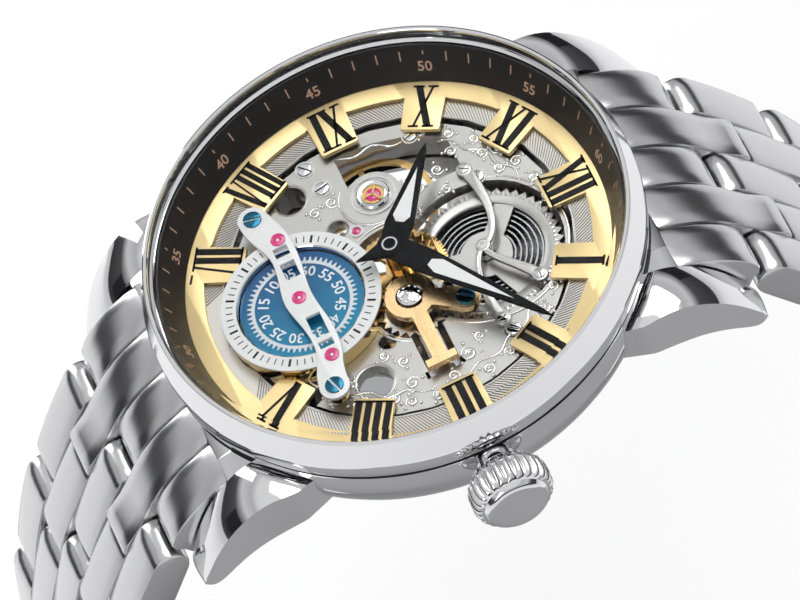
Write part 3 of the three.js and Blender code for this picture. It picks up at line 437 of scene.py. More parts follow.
def text_mesh(name, items, size, high, material, body):
    """Small printed figures: each item is (string, center, turn, height above the origin, tilt)."""
    pieces = []
    for word, (x, y), turn, height, tilt in items:
        font = bpy.data.curves.new(name, "FONT")
        font.body = word
        font.size = size * MM
        font.align_x = "CENTER"
        font.align_y = "CENTER"
        font.extrude = high * MM / 2
        font.resolution_u = 3
        font.offset = size * 0.012 * MM
        holder = bpy.data.objects.new(name, font)
        bpy.context.scene.collection.objects.link(holder)
        bpy.context.view_layer.update()
        mesh = bpy.data.meshes.new_from_object(holder.evaluated_get(bpy.context.evaluated_depsgraph_get()))
        bpy.data.objects.remove(holder)
        place = Matrix.Translation(Vector((x, y, height)) * MM) @ Matrix.Rotation(turn, 4, "Z")
        mesh.transform(place @ Matrix.Rotation(tilt, 4, "X"))
        piece = bpy.data.objects.new(name, mesh)
        bpy.context.scene.collection.objects.link(piece)
        pieces.append(piece)
    whole = join(name, pieces)
    return finish_piece(whole, material, body, 0)


# ---- Case ----------------------------------------------------------------------------------------
def case_parts():
    bezel = lathe(
        "bezel_polished",
        [
            (CRYSTAL_R + 0.04, 3.3), (CRYSTAL_R + 0.04, 4.60), (CRYSTAL_R + 0.10, 4.66), (20.18, 4.66),
            (20.30, 4.60), (20.92, 2.42), (21.0, 2.20), (21.0, 1.15), (20.96, 1.00), (20.86, 0.92),
            (20.45, 0.90), (20.45, 0.66), (19.6, 0.66), (19.6, 3.16),
        ],
        POLISHED, "case", 192, smooth=25,
    )
    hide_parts("bezel")
    flank = lathe(
        "case_flank",
        [
            (17.8, -5.1), (19.1, -5.1), (19.45, -4.95), (20.05, -3.95), (20.35, -3.2), (20.62, -2.2),
            (20.68, -1.6), (20.62, 0.40), (20.56, 0.54), (19.6, 0.56), (19.6, -0.46), (18.62, -0.46),
            (18.62, -4.0), (17.8, -4.0),
        ],
        POLISHED, "case", 192, smooth=30,
    )
    # A black ring in the groove between bezel and flank: painted shade in the recess.
    lathe("case_groove_painted_shade", square(20.55, 20.67, 0.22, 0.42), BLACK, "case", 192, smooth=30)
    corners = [make(sx, sy) for make in (lug, shoulder) for sx in (1, -1) for sy in (1, -1)]
    whole = join("case_body", [flank, *corners, crown_guard()])
    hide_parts("case_middle")
    dress("case_back", POLISHED, 30)
    dress("back_glass", CRYSTAL, 30)
    for name in ("spring_bar_12", "spring_bar_6"):
        dress(name, POLISHED, 60)


def dress(name, material, smooth=35):
    """A CAD piece shown as it is, in a finish of its own."""
    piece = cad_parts[name]
    piece.data.materials.clear()
    piece.data.materials.append(material)
    if smooth:
        piece.data.shade_smooth()
        piece.data.set_sharp_from_angle(angle=math.radians(smooth))
    return piece


# The lug's side view, as (top y, top z, underside y, underside z) from the case to the tip.
LUG_ROWS = [
    (12.4, 5.9, 12.4, 2.2), (15.5, 6.3, 15.5, 2.0), (17.6, 6.5, 17.8, 1.7), (19.4, 5.95, 19.6, 1.2),
    (20.9, 4.9, 21.3, 0.3), (22.4, 3.4, 22.8, -0.9), (23.8, 1.4, 23.9, -2.0), (24.8, -0.6, 24.7, -2.55),
    (25.4, -1.9, 25.3, -2.5),
]


def lug(sx, sy):
    """A lug that sweeps down from the flank; its top is crowned and its sides taper towards the tip."""
    vertices = []
    across = 13
    fine = 5
    stations = []
    for row, after in zip(LUG_ROWS, LUG_ROWS[1:]):
        for k in range(fine):
            stations.append(tuple(a + (b - a) * k / fine for a, b in zip(row, after)))
    stations = smoothed([*stations, LUG_ROWS[-1]])
    for j, (yu, zu, yl, zl) in enumerate(stations):
        t = j / (len(stations) - 1)
        outer = LUG_OUT + 0.1 - 1.8 * t ** 2 - 0.35 * max(0.0, 15.5 - yu)
        inner = LUG_IN + 0.8 * max(0.0, 16.0 - yu)
        for k in range(across + 1):
            u = k / across
            x = inner + (outer - inner) * u
            drop = 0.30 * (2 * u - 1) ** 2
            vertices.append((sx * x, sy * (yu - 0.5 * drop * t), zu - drop))
        for k in range(across + 1):
            u = 1 - k / across
            x = inner + (outer - inner) * u
            vertices.append((sx * x, sy * yl, zl))
    m = 2 * (across + 1)
    faces = stitched(len(stations), m) + ends(len(stations), m)
    return solid_from("lug", vertices, faces, POLISHED, "case", 38)


def shoulder(sx, sy):
    """The part of the case between a lug and the middle, behind the bracelet's end link."""
    vertices, faces = [], []
    for x0, x1, back in ((4.0, 8.6, 17.6), (8.5, LUG_IN + 0.1, 16.5)):
        base = len(vertices)
        for x in (x0, x1):
            for y, z in ((back, 1.2), (20.4, 1.2), (20.4, 4.35), (20.0, 4.70), (back, 5.6)):
                vertices.append((sx * x, sy * y, z))
        faces += shifted((tuple(range(5)), tuple(range(9, 4, -1))), base)
        faces += [(base + k, base + 5 + k, base + 5 + (k + 1) % 5, base + (k + 1) % 5) for k in range(5)]
    return solid_from("shoulder", vertices, faces, POLISHED, "case", 30)


def smoothed(rows, rounds=6):
    for _ in range(rounds):
        inner = [tuple((a + 2 * b + c) / 4 for a, b, c in zip(rows[i - 1], rows[i], rows[i + 1]))
                 for i in range(1, len(rows) - 1)]
        rows = [rows[0], *inner, rows[-1]]
    return rows


def crown_guard():
    """Short collar round the winding stem, outside the case."""
    profile = [(0.7, 19.9), (1.7, 19.9), (1.7, 21.1), (1.6, 21.2), (0.7, 21.2)]
    return turned_x("crown_guard", profile, POLISHED, "case", 0.0, CROWN_Z)


def turned_x(name, profile, material, body, y, z, steps=64, smooth=30):
    """Turns a closed (radius, x) profile about the line through y, z along X."""
    vertices = []
    faces = []
    n = len(profile)
    for i in range(steps):
        a = i * TAU / steps
        for radius, x in profile:
            vertices.append((x, y + radius * math.cos(a), z + radius * math.sin(a)))
    for i in range(steps):
        p = i * n
        q = ((i + 1) % steps) * n
        for k in range(n):
            m = (k + 1) % n
            faces.append((p + k, p + m, q + m, q + k))
    return solid_from(name, vertices, faces, material, body, smooth)


def crown():
    """Fluted onion crown with a polished collar and a domed cap."""
    flutes = 24
    per = 10
    stations = [
        (CROWN_START, 2.55, 0.0), (22.05, 2.95, 0.0), (22.35, 3.12, 0.2), (22.6, 3.34, 0.8),
        (23.0, 3.45, 1.0), (23.9, 3.45, 1.0), (24.4, 3.36, 0.85), (24.75, 3.16, 0.45), (24.9, 2.95, 0.1),
        (24.95, 2.75, 0.0), (25.3, 2.62, 0.0), (25.44, 2.45, 0.0), (25.5, 2.1, 0.0), (25.5, 0.0, 0.0),
    ]
    vertices = []
    count = flutes * per
    for x, radius, depth in stations:
        for i in range(count):
            a = i * TAU / count
            wave = abs(math.sin(a * flutes / 2)) ** 0.75
            r = radius * (1 - 0.115 * depth * (1 - wave))
            vertices.append((x, r * math.cos(a), CROWN_Z + r * math.sin(a)))
    faces = stitched(len(stations), count) + [tuple(reversed(range(count)))]
    piece = solid_from("crown_fluted", vertices, faces, POLISHED, "crown", 40)
    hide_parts("crown")
    dress("winding_stem", POLISHED, 60)


def crystal():
    glass = lathe(
        "crystal_glass",
        [(0.0, 3.2), (CRYSTAL_R, 3.2), (CRYSTAL_R, 4.5), (CRYSTAL_R - 0.05, 4.6), (CRYSTAL_R - 0.62, 4.95),
         (0.0, 4.95)],
        CRYSTAL, "case", 192, smooth=12,
    )
    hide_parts("crystal")


# ---- Bracelet ------------------------------------------------------------------------------------
# Faces of the bar inside a link, whose corners come as two upright squares.
BAR_FACES = ((0, 1, 2, 3), (4, 7, 6, 5), (0, 4, 5, 1), (1, 5, 6, 2), (2, 6, 7, 3), (3, 7, 4, 0))


def bar_section(x0, x1, outline, crest):
    """One column of a link: the (s, n) outline runs along X, and its outer face is crowned across."""
    width = x1 - x0
    round_off = 0.28
    cuts = [x0, x0 + round_off * 0.3, x0 + round_off, x0 + width * 0.28, x0 + width * 0.5,
            x1 - width * 0.28, x1 - round_off, x1 - round_off * 0.3, x1]
    vertices = []
    for x in cuts:
        u = (x - x0) / width * 2 - 1
        edge = min(x - x0, x1 - x)
        shrink = 0.0
        if edge < round_off:
            shrink = round_off - math.sqrt(max(round_off ** 2 - (round_off - edge) ** 2, 0))
        for s, n, ns, nn in outline:
            lift = crest * (1 - u * u) if nn > 0 else 0.0
            vertices.append((x, s - ns * shrink, n - nn * shrink + lift * nn - crest * max(nn, 0)))
    return vertices, stitched(len(cuts), len(outline)) + ends(len(cuts), len(outline))


def link_outline(s0, s1, half, steps=12):
    """Rounded bar from s0 to s1 with its outward normals; slightly swollen outside, flat inside."""
    rows = []
    for k in range(steps + 1):
        a = math.pi / 2 + math.pi * k / steps
        rows.append((s0 + half * math.cos(a), half * math.sin(a), math.cos(a), math.sin(a)))
    for k in range(steps + 1):
        a = -math.pi / 2 + math.pi * k / steps
        rows.append((s1 + half * math.cos(a), half * math.sin(a), math.cos(a), math.sin(a)))
    top = 8
    for k in range(1, top):
        t = k / top
        swell = SWELL * math.sin(math.pi * t)
        slope = SWELL * math.pi * math.cos(math.pi * t) / (s1 - s0)
        rows.append((s1 + (s0 - s1) * t, half + swell, slope, 1.0))
    return rows


def placed(vertices, side, angle, pin):
    """Link coordinates (x, along, outward) brought to the frame, on one side of the watch."""
    c, s = math.cos(math.radians(angle)), math.sin(math.radians(angle))
    rows = []
    for x, along, out in vertices:
        y = pin[0] + along * c + out * s
        z = pin[1] - along * s + out * c
        rows.append((x, side * y, z))
    return rows


def bracelet():
    pin = FIRST_PIN
    pins = [pin]
    for angle in LINK_ANGLES:
        turn = math.radians(angle)
        pin = (pin[0] + PITCH * math.cos(turn), pin[1] - PITCH * math.sin(turn))
        pins.append(pin)
    for side, tag in ((1, "12"), (-1, "6")):
        for i, angle in enumerate(LINK_ANGLES):
            body = f"link_{tag}_{i + 1}"
            vertices = []
            faces = []
            for k, (x0, x1) in enumerate(COLUMNS):
                if k % 2 == 0:
                    outline = link_outline(0.0, PITCH - 2 * HALF - 0.2, HALF)
                else:
                    outline = link_outline(2 * HALF + 0.2, PITCH, HALF)
                rows, quads = bar_section(x0, x1, outline, 0.16)
                base = len(vertices)
                vertices += placed(rows, side, angle, pins[i])
                faces += shifted(quads, base)
            core = [(x, s, n) for x in (-10, 10) for s, n in square(5.9, 7.4, -1.2, 1.2)]
            base = len(vertices)
            vertices += placed(core, side, angle, pins[i])
            faces += shifted(BAR_FACES, base)
            base = len(vertices)
            rod = [(x, *polar(CENTER, 0.55, k * TAU / 16)) for x in (-10, 10) for k in range(16)]
            vertices += placed(rod, side, angle, pins[i])
            faces += stitched(2, 16, base)
            piece = solid_from(f"{body}_shown", vertices, faces, SATIN, body, 32)
            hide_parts(body)
        end_link(side, tag)


def end_link(side, tag):
    """The piece that fills the gap between the lugs and carries the first row of columns."""
    short = [(19.6, 4.75), (20.9, 4.45), (22.0, 3.95), (23.1, 3.35), (24.2, 2.55), (25.1, 1.75),
             (25.9, 0.75), (26.3, 0.0), (26.4, -0.5), (26.2, -1.0), (25.6, -1.4), (24.9, -2.4), (22, -1.6),
             (19.6, 0.6)]
    far = (FIRST_PIN[0] + 1.3, FIRST_PIN[1] - 1.55)
    long = [(19.6, 4.75), (20.9, 4.45), (22.0, 3.95), (23.1, 3.35), (24.2, 2.6), (25.3, 1.65), (26.4, 0.5),
            (27.4, -0.8), (28.4, -2.1), (29.4, -3.1)]
    for k in range(1, 12):
        a = 0.75 - k * (math.pi + 0.2) / 12
        long.append((far[0] + 1.7 * math.cos(a), far[1] + 1.7 * math.sin(a)))
    long += [(24.6, -3.6), (22, -1.6), (19.6, 0.6)]
    vertices = []
    faces = []
    for k, (x0, x1) in enumerate(COLUMNS):
        outline = with_normals(long if k % 2 else short)
        rows, quads = bar_section(x0, x1, outline, 0.12)
        base = len(vertices)
        vertices += [(x, side * s, n) for x, s, n in rows]
        faces += shifted(quads, base)
    core = [(x, side * s, n) for x in (-10.5, 10.5) for s, n in square(21.4, 23.6, 0.2, 2.4)]
    base = len(vertices)
    vertices += core
    faces += shifted(BAR_FACES, base)
    piece = solid_from(f"end_link_{tag}_shown", vertices, faces, SATIN, "case", 32)
    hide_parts(f"end_link_{tag}")


def with_normals(points):
    """Adds each point's outward normal, for an outline that runs clockwise."""
    rows = []
    n = len(points)
    for i, (s, z) in enumerate(points):
        a = points[i - 1]
        b = points[(i + 1) % n]
        ds, dz = b[0] - a[0], b[1] - a[1]
        size = math.hypot(ds, dz) or 1
        rows.append((s, z, -dz / size, ds / size))
    return rows


def clasp():
    for name in ("clasp_cover", "clasp_button_right", "clasp_button_left"):
        dress(name, POLISHED, 25)
    for name in ("clasp_blade_outer", "clasp_blade_inner"):
        dress(name, BRUSHED, 25)


# ---- Dial ----------------------------------------------------------------------------------------
def roman_strokes(word):
    """Strokes of a numeral as (x at the foot, x at the top, kind, letter), and its full width."""
    shapes = {"I": (1.0, [(0.5, 0.5, "thick")]), "V": (1.95, [(0.95, 0.25, "thick"), (1.0, 1.7, "thin")]),
              "X": (1.95, [(1.65, 0.3, "thick"), (0.3, 1.65, "thin")])}
    strokes = []
    at = 0.0
    for letter in word:
        width, lines = shapes[letter]
        for foot, top, kind in lines:
            strokes.append((at + foot, at + top, kind, letter))
        at += width
    return strokes, at


def numeral(word, hour):
    """Vertices and faces of one Roman numeral printed on its tab, its top pointing outwards."""
    foot_r, top_r = 13.25, 17.35
    low, high = 0.005, 0.05
    strokes, width = roman_strokes(word)
    scale = min(0.92, 3.35 / width)
    turn = math.pi / 2 - hour * TAU / 12
    vertices, faces = [], []

    def quad(points):
        base = len(vertices)
        for z in (low, high):
            for across, along in points:
                radial = (math.cos(turn), math.sin(turn))
                side = (math.sin(turn), -math.cos(turn))
                vertices.append((radial[0] * along + side[0] * across, radial[1] * along + side[1] * across,
                                 z + DIAL_Z))
        faces.extend(shifted(BLOCK_FACES, base))

    for foot, top, kind, letter in strokes:
        half = (0.335 if kind == "thick" else 0.11) * scale
        a = (foot - width / 2) * scale
        b = (top - width / 2) * scale
        quad([(a - half, foot_r), (a + half, foot_r), (b + half, top_r), (b - half, top_r)])
        serif = (0.52 if kind == "thick" else 0.46) * scale
        serifs = [(b, top_r - 0.17, top_r)]
        if letter != "V":
            serifs.insert(0, (a, foot_r, foot_r + 0.17))
        for x, near, far in serifs:
            quad([(x - serif, near), (x + serif, near), (x + serif, far), (x - serif, far)])
    return vertices, faces


def chapter_outline():
    """Gold band with a tab at each hour, open at six for the small dial."""
    loop = []
    half = TAB_WIDTH / 2
    for hour in range(12, 0, -1):
        mid = math.pi / 2 - hour * TAU / 12
        nxt = mid + TAU / 12
        if hour == 6:
            loop += arc(CENTER, BAND_IN, mid - 0.1, mid + 0.1, 4)
        else:
            radial = (math.cos(mid), math.sin(mid))
            side = (-math.sin(mid), math.cos(mid))
            for along, across in ((BAND_IN, -half * 1.06), (TAB_IN + 0.12, -half), (TAB_IN, -half + 0.12),
                                  (TAB_IN, half - 0.12), (TAB_IN + 0.12, half), (BAND_IN, half * 1.06)):
                loop.append((radial[0] * along + side[0] * across, radial[1] * along + side[1] * across))
        edge = half * 1.06 / BAND_IN
        loop += arc(CENTER, BAND_IN, mid + edge + 0.02, nxt - edge - 0.02, 10)
    return loop


# A minute mark's corners: both ends of the mark, each with its foot and then its raised top.
MARK_FACES = ((0, 1, 3, 2), (4, 6, 7, 5), (0, 4, 5, 1), (2, 3, 7, 6), (0, 2, 6, 4), (1, 5, 7, 3))
MARK_HALF = 0.055
# The small seconds dial stands where VI would be.
HOUR_WORDS = {1: "I", 2: "II", 3: "III", 4: "IIII", 5: "V", 7: "VII", 8: "VIII", 9: "IX", 10: "X", 11: "XI",
              12: "XII"}
# Where the minute figures stand, as a part of the slope.
FIGURE_PART = 0.40


def dial():
    band = flat("chapter_band", [ring(CENTER, 19.38, 160), chapter_outline()], -0.40, 0.0, GOLD, "case",
                0.03)
    cut_round(band, SECONDS, 7.0)
    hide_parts("chapter_ring")
    vertices, faces = [], []
    for hour, word in HOUR_WORDS.items():
        rows, quads = numeral(word, hour)
        base = len(vertices)
        vertices += rows
        faces += shifted(quads, base)
    print_all = object_from("numerals_black", vertices, faces, BLACK, "case", 0)
    cut_round(print_all, SECONDS, 7.0)

    # Hatched grey ring seen in the windows: diagonal lines on a flat ground.
    dress("hatched_ring", HATCH, 20)
    lines = []
    count = 330
    for i in range(count):
        a = i * TAU / count
        at = polar(CENTER, 15.42, a)
        if math.hypot(at[0] - SECONDS[0], at[1] - SECONDS[1]) < 7.9:
            continue
        lines.append((at, a + 0.72, 0.98, 0.034, -0.47, -0.41))
    boxes("hatch_lines", lines, HATCH_LINE, "case")
    gap = lathe("plate_gap_ring", square(14.62, 14.74, -0.62, -0.40), NICKEL, "case", 160,
                smooth=30)
    cut_round(gap, SECONDS, 6.85)

    # The black sloping flange with its minute scale.
    flange = lathe(
        "flange_black",
        [(REHAUT_FOOT, 0.06), (19.48, 0.06), (19.48, REHAUT_TOP), (REHAUT_LIP, REHAUT_TOP)],
        REHAUT_BLACK, "case", 192, smooth=20,
    )
    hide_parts("rehaut")
    figures = []
    slope = math.atan2(REHAUT_TOP - 0.06, REHAUT_LIP - REHAUT_FOOT)

    def on_slope(part):
        return REHAUT_FOOT + (REHAUT_LIP - REHAUT_FOOT) * part, 0.06 + (REHAUT_TOP - 0.06) * part

    vertices, faces = [], []
    for i in range(60):
        a = math.pi / 2 - i * TAU / 60
        major = i % 5 == 0
        faces += shifted(MARK_FACES, len(vertices))
        for part in (0.74 if major else 0.58, 0.84):
            r, z = on_slope(part)
            for lift in (0.0, 0.02):
                for side in (-MARK_HALF, MARK_HALF):
                    rr = r - lift * math.sin(slope)
                    zz = z + lift * math.cos(slope)
                    x, y = polar(CENTER, rr, a)
                    vertices.append((x - side * math.sin(a), y + side * math.cos(a), zz + DIAL_Z))
        if major:
            r, z = on_slope(FIGURE_PART)
            figures.append((f"{i or 60:02d}", polar(CENTER, r - 0.012, a), a - math.pi / 2,
                            z + DIAL_Z + 0.012, slope))
    object_from("minute_marks", vertices, faces, COPPER, "case", 0)
    text_mesh("minute_figures", figures, 1.30, 0.012, COPPER, "case")


def cut_round(piece, center, radius):
    """Takes an upright cylinder out of a piece."""
    bpy.ops.mesh.primitive_cylinder_add(vertices=128, radius=radius * MM, depth=0.03,
                                        location=(center[0] * MM, center[1] * MM, DIAL_Z * MM))
    tool = bpy.context.active_object
    change = piece.modifiers.new("cut", "BOOLEAN")
    change.operation = "DIFFERENCE"
    change.solver = "EXACT"
    change.object = tool
    bpy.context.view_layer.update()
    mesh = bpy.data.meshes.new_from_object(piece.evaluated_get(bpy.context.evaluated_depsgraph_get()))
    piece.modifiers.clear()
    if not mesh.materials:
        for material in piece.data.materials:
            mesh.materials.append(material)
    piece.data = mesh
    bpy.data.objects.remove(tool)


# ---- Movement ------------------------------------------------------------------------------------
SCROLL_STEPS = 26
SCROLL_TURNS = 1.3
PLATE_TOP = -0.76
LINE_Z = -0.72
# Places and sizes of the scrolls inside the rim.
SCROLLS = [
    (8.7, -3.1, 0.5), (11.0, -3.2, 0.6), (5.2, -5.4, 0.5), (7.4, -4.4, 0.5), (-8.9, -2.6, 0.55),
    (-8.6, -4.2, 0.5), (-3.4, 4.9, 0.5), (-6.4, 4.3, 0.45), (-7.3, 6.3, 0.55), (-5.1, 6.3, 0.45),
    (-8.4, 8.0, 0.5), (-6.9, 10.2, 0.5), (-4.8, 10.9, 0.5), (10.7, 1.9, 0.7), (10.0, 9.0, 0.55),
    (8.6, -7.7, 0.45), (10.6, -7.3, 0.6), (8.9, -9.2, 0.5), (6.6, -8.7, 0.45), (12.1, 0.0, 0.5),
    (11.6, -5.2, 0.6), (-4.4, 3.4, 0.35), (9.6, 3.3, 0.45),
]
RIM_SCROLLS = 26
RIM_STEP = 0.172
HOLES = [(-10.9, -5.6, 1.45), (9.3, -5.9, 1.7), (-6.2, -3.1, 0.9), (6.2, -3.6, 0.75)]
SCREWS = [(-13.1, -3.4, 0.62), (-10.6, -2.8, 0.62), (-4.9, 9.0, 0.55), (10.5, 6.0, 0.6), (-11.6, 5.6, 0.55),
          (5.6, -11.9, 0.5)]


def scroll(center, radius, start, hand):
    """Engraved spiral that curls in towards its dot."""
    path = []
    for i in range(SCROLL_STEPS + 1):
        t = i / SCROLL_STEPS
        at = polar(center, radius * (1 - 0.72 * t), start + hand * SCROLL_TURNS * TAU * t)
        path.append((*at, LINE_Z))
    return path


def screw(name, at, radius, high, material, slot_angle, body="case", thick=0.22):
    """Flat screw head with a rounded edge, in two halves beside its slot, over a dark foot that is painted
    shade at the bottom of the slot.
    """
    half = radius * 0.11
    start = math.asin(half / radius)
    pieces = []
    for flip in (0, math.pi):
        turn = slot_angle + flip
        outline = arc(at, radius, turn + start, turn + math.pi - start, 20)
        pieces.append(flat(name, [outline], high - thick, high, material, body, 0.04))
    # The foot shows only through the slot; its darkened steel is painted shade.
    base = flat(name, [ring(at, radius * 0.97, 40)], high - thick - 0.05, high - thick + 0.02, PAINTED_SHADE_STEEL,
                body)
    head = join(name, pieces)
    return head, base


def ribbon(rows):
    """Outline of a curved arm from its middle line: each row is (x, y, half width)."""
    left, right = [], []
    for i, (x, y, half) in enumerate(rows):
        before = rows[max(i - 1, 0)]
        after = rows[min(i + 1, len(rows) - 1)]
        along = math.atan2(after[1] - before[1], after[0] - before[0])
        left.append((x - math.sin(along) * half, y + math.cos(along) * half))
        right.append((x + math.sin(along) * half, y - math.cos(along) * half))
    return left + right[::-1]


def mainspring():
    """A thin strip wound seven times inside the barrel, over the drum's floor, which is darkened as painted
    shade.
    """
    turns, per, thick = 7, 60, 0.13
    low, high = -3.05, -1.92
    steps = turns * per
    vertices = []
    for i in range(steps + 1):
        a = i * TAU / per
        r = 1.75 + 3.25 * i / steps
        for radius, z in square(r, r + thick, low, high):
            x, y = polar(BARREL, radius, a)
            vertices.append((x, y, z + DIAL_Z))
    faces = stitched(steps + 1, 4) + ends(steps + 1, 4)
    strip = object_from("mainspring_strip", vertices, faces, SPRING, "barrel", 40)
    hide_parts("mainspring")
    # The drum's floor, darkened as painted shade between the coils.
    lathe("barrel_floor_painted_shade", square(1.55, 5.1, -3.16, -3.10), PAINTED_SHADE_STEEL, "barrel", 96, BARREL)
    lathe("barrel_rim", [(4.95, -1.60), (4.95, -1.50), (5.02, -1.46), (5.70, -1.46), (5.76, -1.50),
                         (5.76, -1.60)], NICKEL, "barrel", 128, BARREL)


def barrel_cock():
    """Three slender curved arms that meet over the barrel, each with a line cut along its middle."""
    node = (1.85, 6.85)
    arms = [
        ((1.6, 8.2, 0.22), (-1.2, 9.4, 0.34), (-5.9, 8.25, 0.52)),
        ((3.2, 6.7, 0.20), (4.6, 8.6, 0.34), (6.9, 9.9, 0.52)),
        ((2.6, 5.6, 0.20), (5.6, 4.9, 0.34), (9.3, 5.6, 0.50)),
    ]
    pieces, lines, heads = [], [], []
    start = (*node, 0.30)
    for c, d, end in arms:
        rows = [start] + bezier(start, c, d, end, 26)
        pieces.append(flat("arm", [ribbon(rows)], -0.66, -0.30, NICKEL, "case", 0.07))
        pieces.append(flat("pad", [ring(end[:2], 0.68, 36)], -0.67, -0.29, NICKEL, "case", 0.07))
        lines.append([(x, y, -0.31) for x, y, _ in rows[2:-5]])
        # The foot returned with each head is the painted shade in its slot.
        head, foot = screw("cock_screw", end[:2], 0.42, -0.18, POLISHED, end[0] * 0.9, thick=0.12)
        heads += [head, foot]
    pieces.append(flat("boss", [ring(node, 0.62, 40)], -0.67, -0.27, NICKEL, "case", 0.07))
    whole = join("barrel_cock_arms", pieces)
    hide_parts("barrel_cock")
    tube("cock_lines", lines, 0.075, ENGRAVED, "case", sides=6, flatten=0.6)
    lathe("cock_boss_ring", square(0.22, 0.40, -0.28, -0.20), ENGRAVED, "case", 40, node,
          smooth=0)
    for k, piece in enumerate(heads):
        piece.name = f"cock_screw_{k + 1}"


# What each piece of the CAD movement that is shown as it is wears.
MOVEMENT_FINISHES = [
    (NICKEL, ("main_plate", "train_bridge", "balance_cock", "barrel_drum")),
    (BRUSHED, ("movement_ring",)),
    (POLISHED, ("barrel_arbor", "cannon_pinion")),
    (WHEEL_STEEL, ("ratchet_wheel", "crown_wheel", "click", "escape_wheel", "pallet_fork", "setting_lever",
                   "hairspring", "minute_wheel")),
    (BRASS, ("center_wheel", "third_wheel", "fourth_wheel", "balance_wheel", "hour_wheel")),
    (KEY_GOLD, ("key_bridge",)),
]


def movement():
    # These keep their CAD shapes. The plate has bright engraved lines on top.
    for material, names in MOVEMENT_FINISHES:
        for name in names:
            dress(name, material, 50 if name == "hairspring" else 30)
    mainspring()
    barrel_cock()

    paths = []
    dots = []
    blocked = [(BARREL, 6.8), (CENTER, 4.4), (MINUTE, 3.3), (SECONDS, 6.8)]
    rim = [(*polar(CENTER, 13.25, 2.62 - k * RIM_STEP), 0.52) for k in range(RIM_SCROLLS)]
    for k, (x, y, r) in enumerate(SCROLLS + rim):
        if any(math.hypot(x - c[0], y - c[1]) < rr - 0.1 for c, rr in blocked):
            continue
        hand = 1 if k % 2 else -1
        paths.append(scroll((x, y), r, k * 1.7, hand))
        dots.append(((x, y), r * 0.34, PLATE_TOP, 0.24))
        for m in range(3):
            a = k * 1.7 + m * 2.1
            dots.append((polar((x, y), r * 1.5, a), 0.17, PLATE_TOP, 0.16))
    # Waving stems that join the scrolls along the rim.
    for a0, a1, r in ((1.80, 2.50, 12.4), (0.10, 0.80, 12.4), (-1.30, -0.12, 12.3), (2.75, 3.20, 12.4)):
        steps = round((a1 - a0) * 60)
        row = []
        for i in range(steps + 1):
            a = a0 + (a1 - a0) * i / steps
            row.append((*polar(CENTER, r + 0.26 * math.sin(a * 24), a), LINE_Z))
        paths.append(row)
    # Lines that follow the big openings.
    for c, r, a0, a1 in ((BARREL, 7.1, -0.9, 2.9), (CENTER, 4.7, 2.1, 3.6), (BALANCE, 2.9, -2.2, 1.6),
                         (MINUTE, 3.6, -2.2, -0.4)):
        steps = 60
        row = [(*polar(c, r, a0 + (a1 - a0) * i / steps), -0.73) for i in range(steps + 1)]
        paths.append(row)
    tube("engraved_scrolls", paths, 0.13, ENGRAVED, "case", sides=8, flatten=0.9)
    domes("engraved_dots", dots, ENGRAVED, "case")

    heads, feet = [], []
    for k, (x, y, r) in enumerate(SCREWS):
        # Each screw's foot is the painted shade in its slot.
        head, foot = screw("plate_screw", (x, y), r, -0.50, POLISHED, 0.7 + k * 1.1)
        heads.append(head)
        feet.append(foot)
        collar = lathe("screw_collar", square(r + 0.08, r + 0.20, PLATE_TOP, -0.66),
                       ENGRAVED, "case", 40, (x, y), smooth=0)
        heads.append(collar)
    join("plate_screws", heads)
    join("plate_screw_slot_shade", feet)

    # Round, bright-edged walls in the plate's holes.
    for k, (x, y, r) in enumerate(HOLES):
        lathe(f"hole_wall_{k + 1}", [(r * 0.91, -1.88), (r * 1.05, -1.88), (r * 1.05, -0.72),
                                     (r * 1.0, -0.69), (r * 0.91, -0.74)], NICKEL, "case", 48, (x, y))

    # Jewel setting over the balance: gilt chaton, ruby and its three-armed spring.
    lathe("balance_setting", [(0.95, PLATE_TOP), (0.95, -0.50), (1.10, -0.42), (1.32, -0.42), (1.42, -0.52),
                              (1.42, PLATE_TOP)], POLISHED, "case", 64, BALANCE)
    lathe("balance_setting_ring", square(1.75, 1.92, PLATE_TOP, -0.64),
          ENGRAVED, "case", 64, BALANCE, smooth=0)
    lathe("balance_chaton", square(0.0, 0.94, PLATE_TOP, -0.62), BRASS, "case", 64, BALANCE)
    domes("balance_ruby", [(BALANCE, 0.66, -0.62, 0.16)], RUBY, "case", rings=6, sides=32)
    arms = [(polar(BALANCE, 0.42, a), a, 0.42, 0.09, -0.47,
             -0.41) for a in (0.5, 0.5 + TAU / 3, 0.5 + 2 * TAU / 3)]
    boxes("balance_spring_clip", arms, EDGE_GOLD, "case")
    lathe("pallet_setting", square(0.40, 0.60, PLATE_TOP, -0.66), ENGRAVED, "case", 40, PALLET,
          smooth=0)
    domes("pallet_ruby", [(PALLET, 0.38, PLATE_TOP, 0.12)], RUBY, "case", rings=5, sides=24)

    # The gold key's blued screw and its studded boss over the minute wheel.
    screw("key_screw", KEY_SCREW, 0.82, 0.72, BLUED, 0.9, thick=0.20)
    lathe("minute_boss", [(0.0, 0.46), (0.0, 0.86), (0.75, 0.80), (1.05, 0.66), (1.05, 0.46)], POLISHED,
          "case", 48, MINUTE)
    studs = [(polar(MINUTE, 0.78, i * TAU / 9), 0.16, 0.74, 0.10) for i in range(9)]
    studs.append((MINUTE, 0.3, 0.82, 0.12))
    domes("minute_boss_studs", studs, ENGRAVED, "case", sides=10)
    teeth = toothed(CENTER, 4.03, 72, 0.26)
    flat("center_wheel_shown", [teeth, *sector_windows(CENTER, 4, 1.25, 3.35, 0.7, 0.4)], -1.42, -1.16,
         BRASS, "center", 0.02)
    flat("barrel_teeth", [toothed(BARREL, 6.05, 84, 0.34), ring(BARREL, 5.15, 96)], -1.60, -1.48,
         WHEEL_STEEL, "barrel", 0.02)


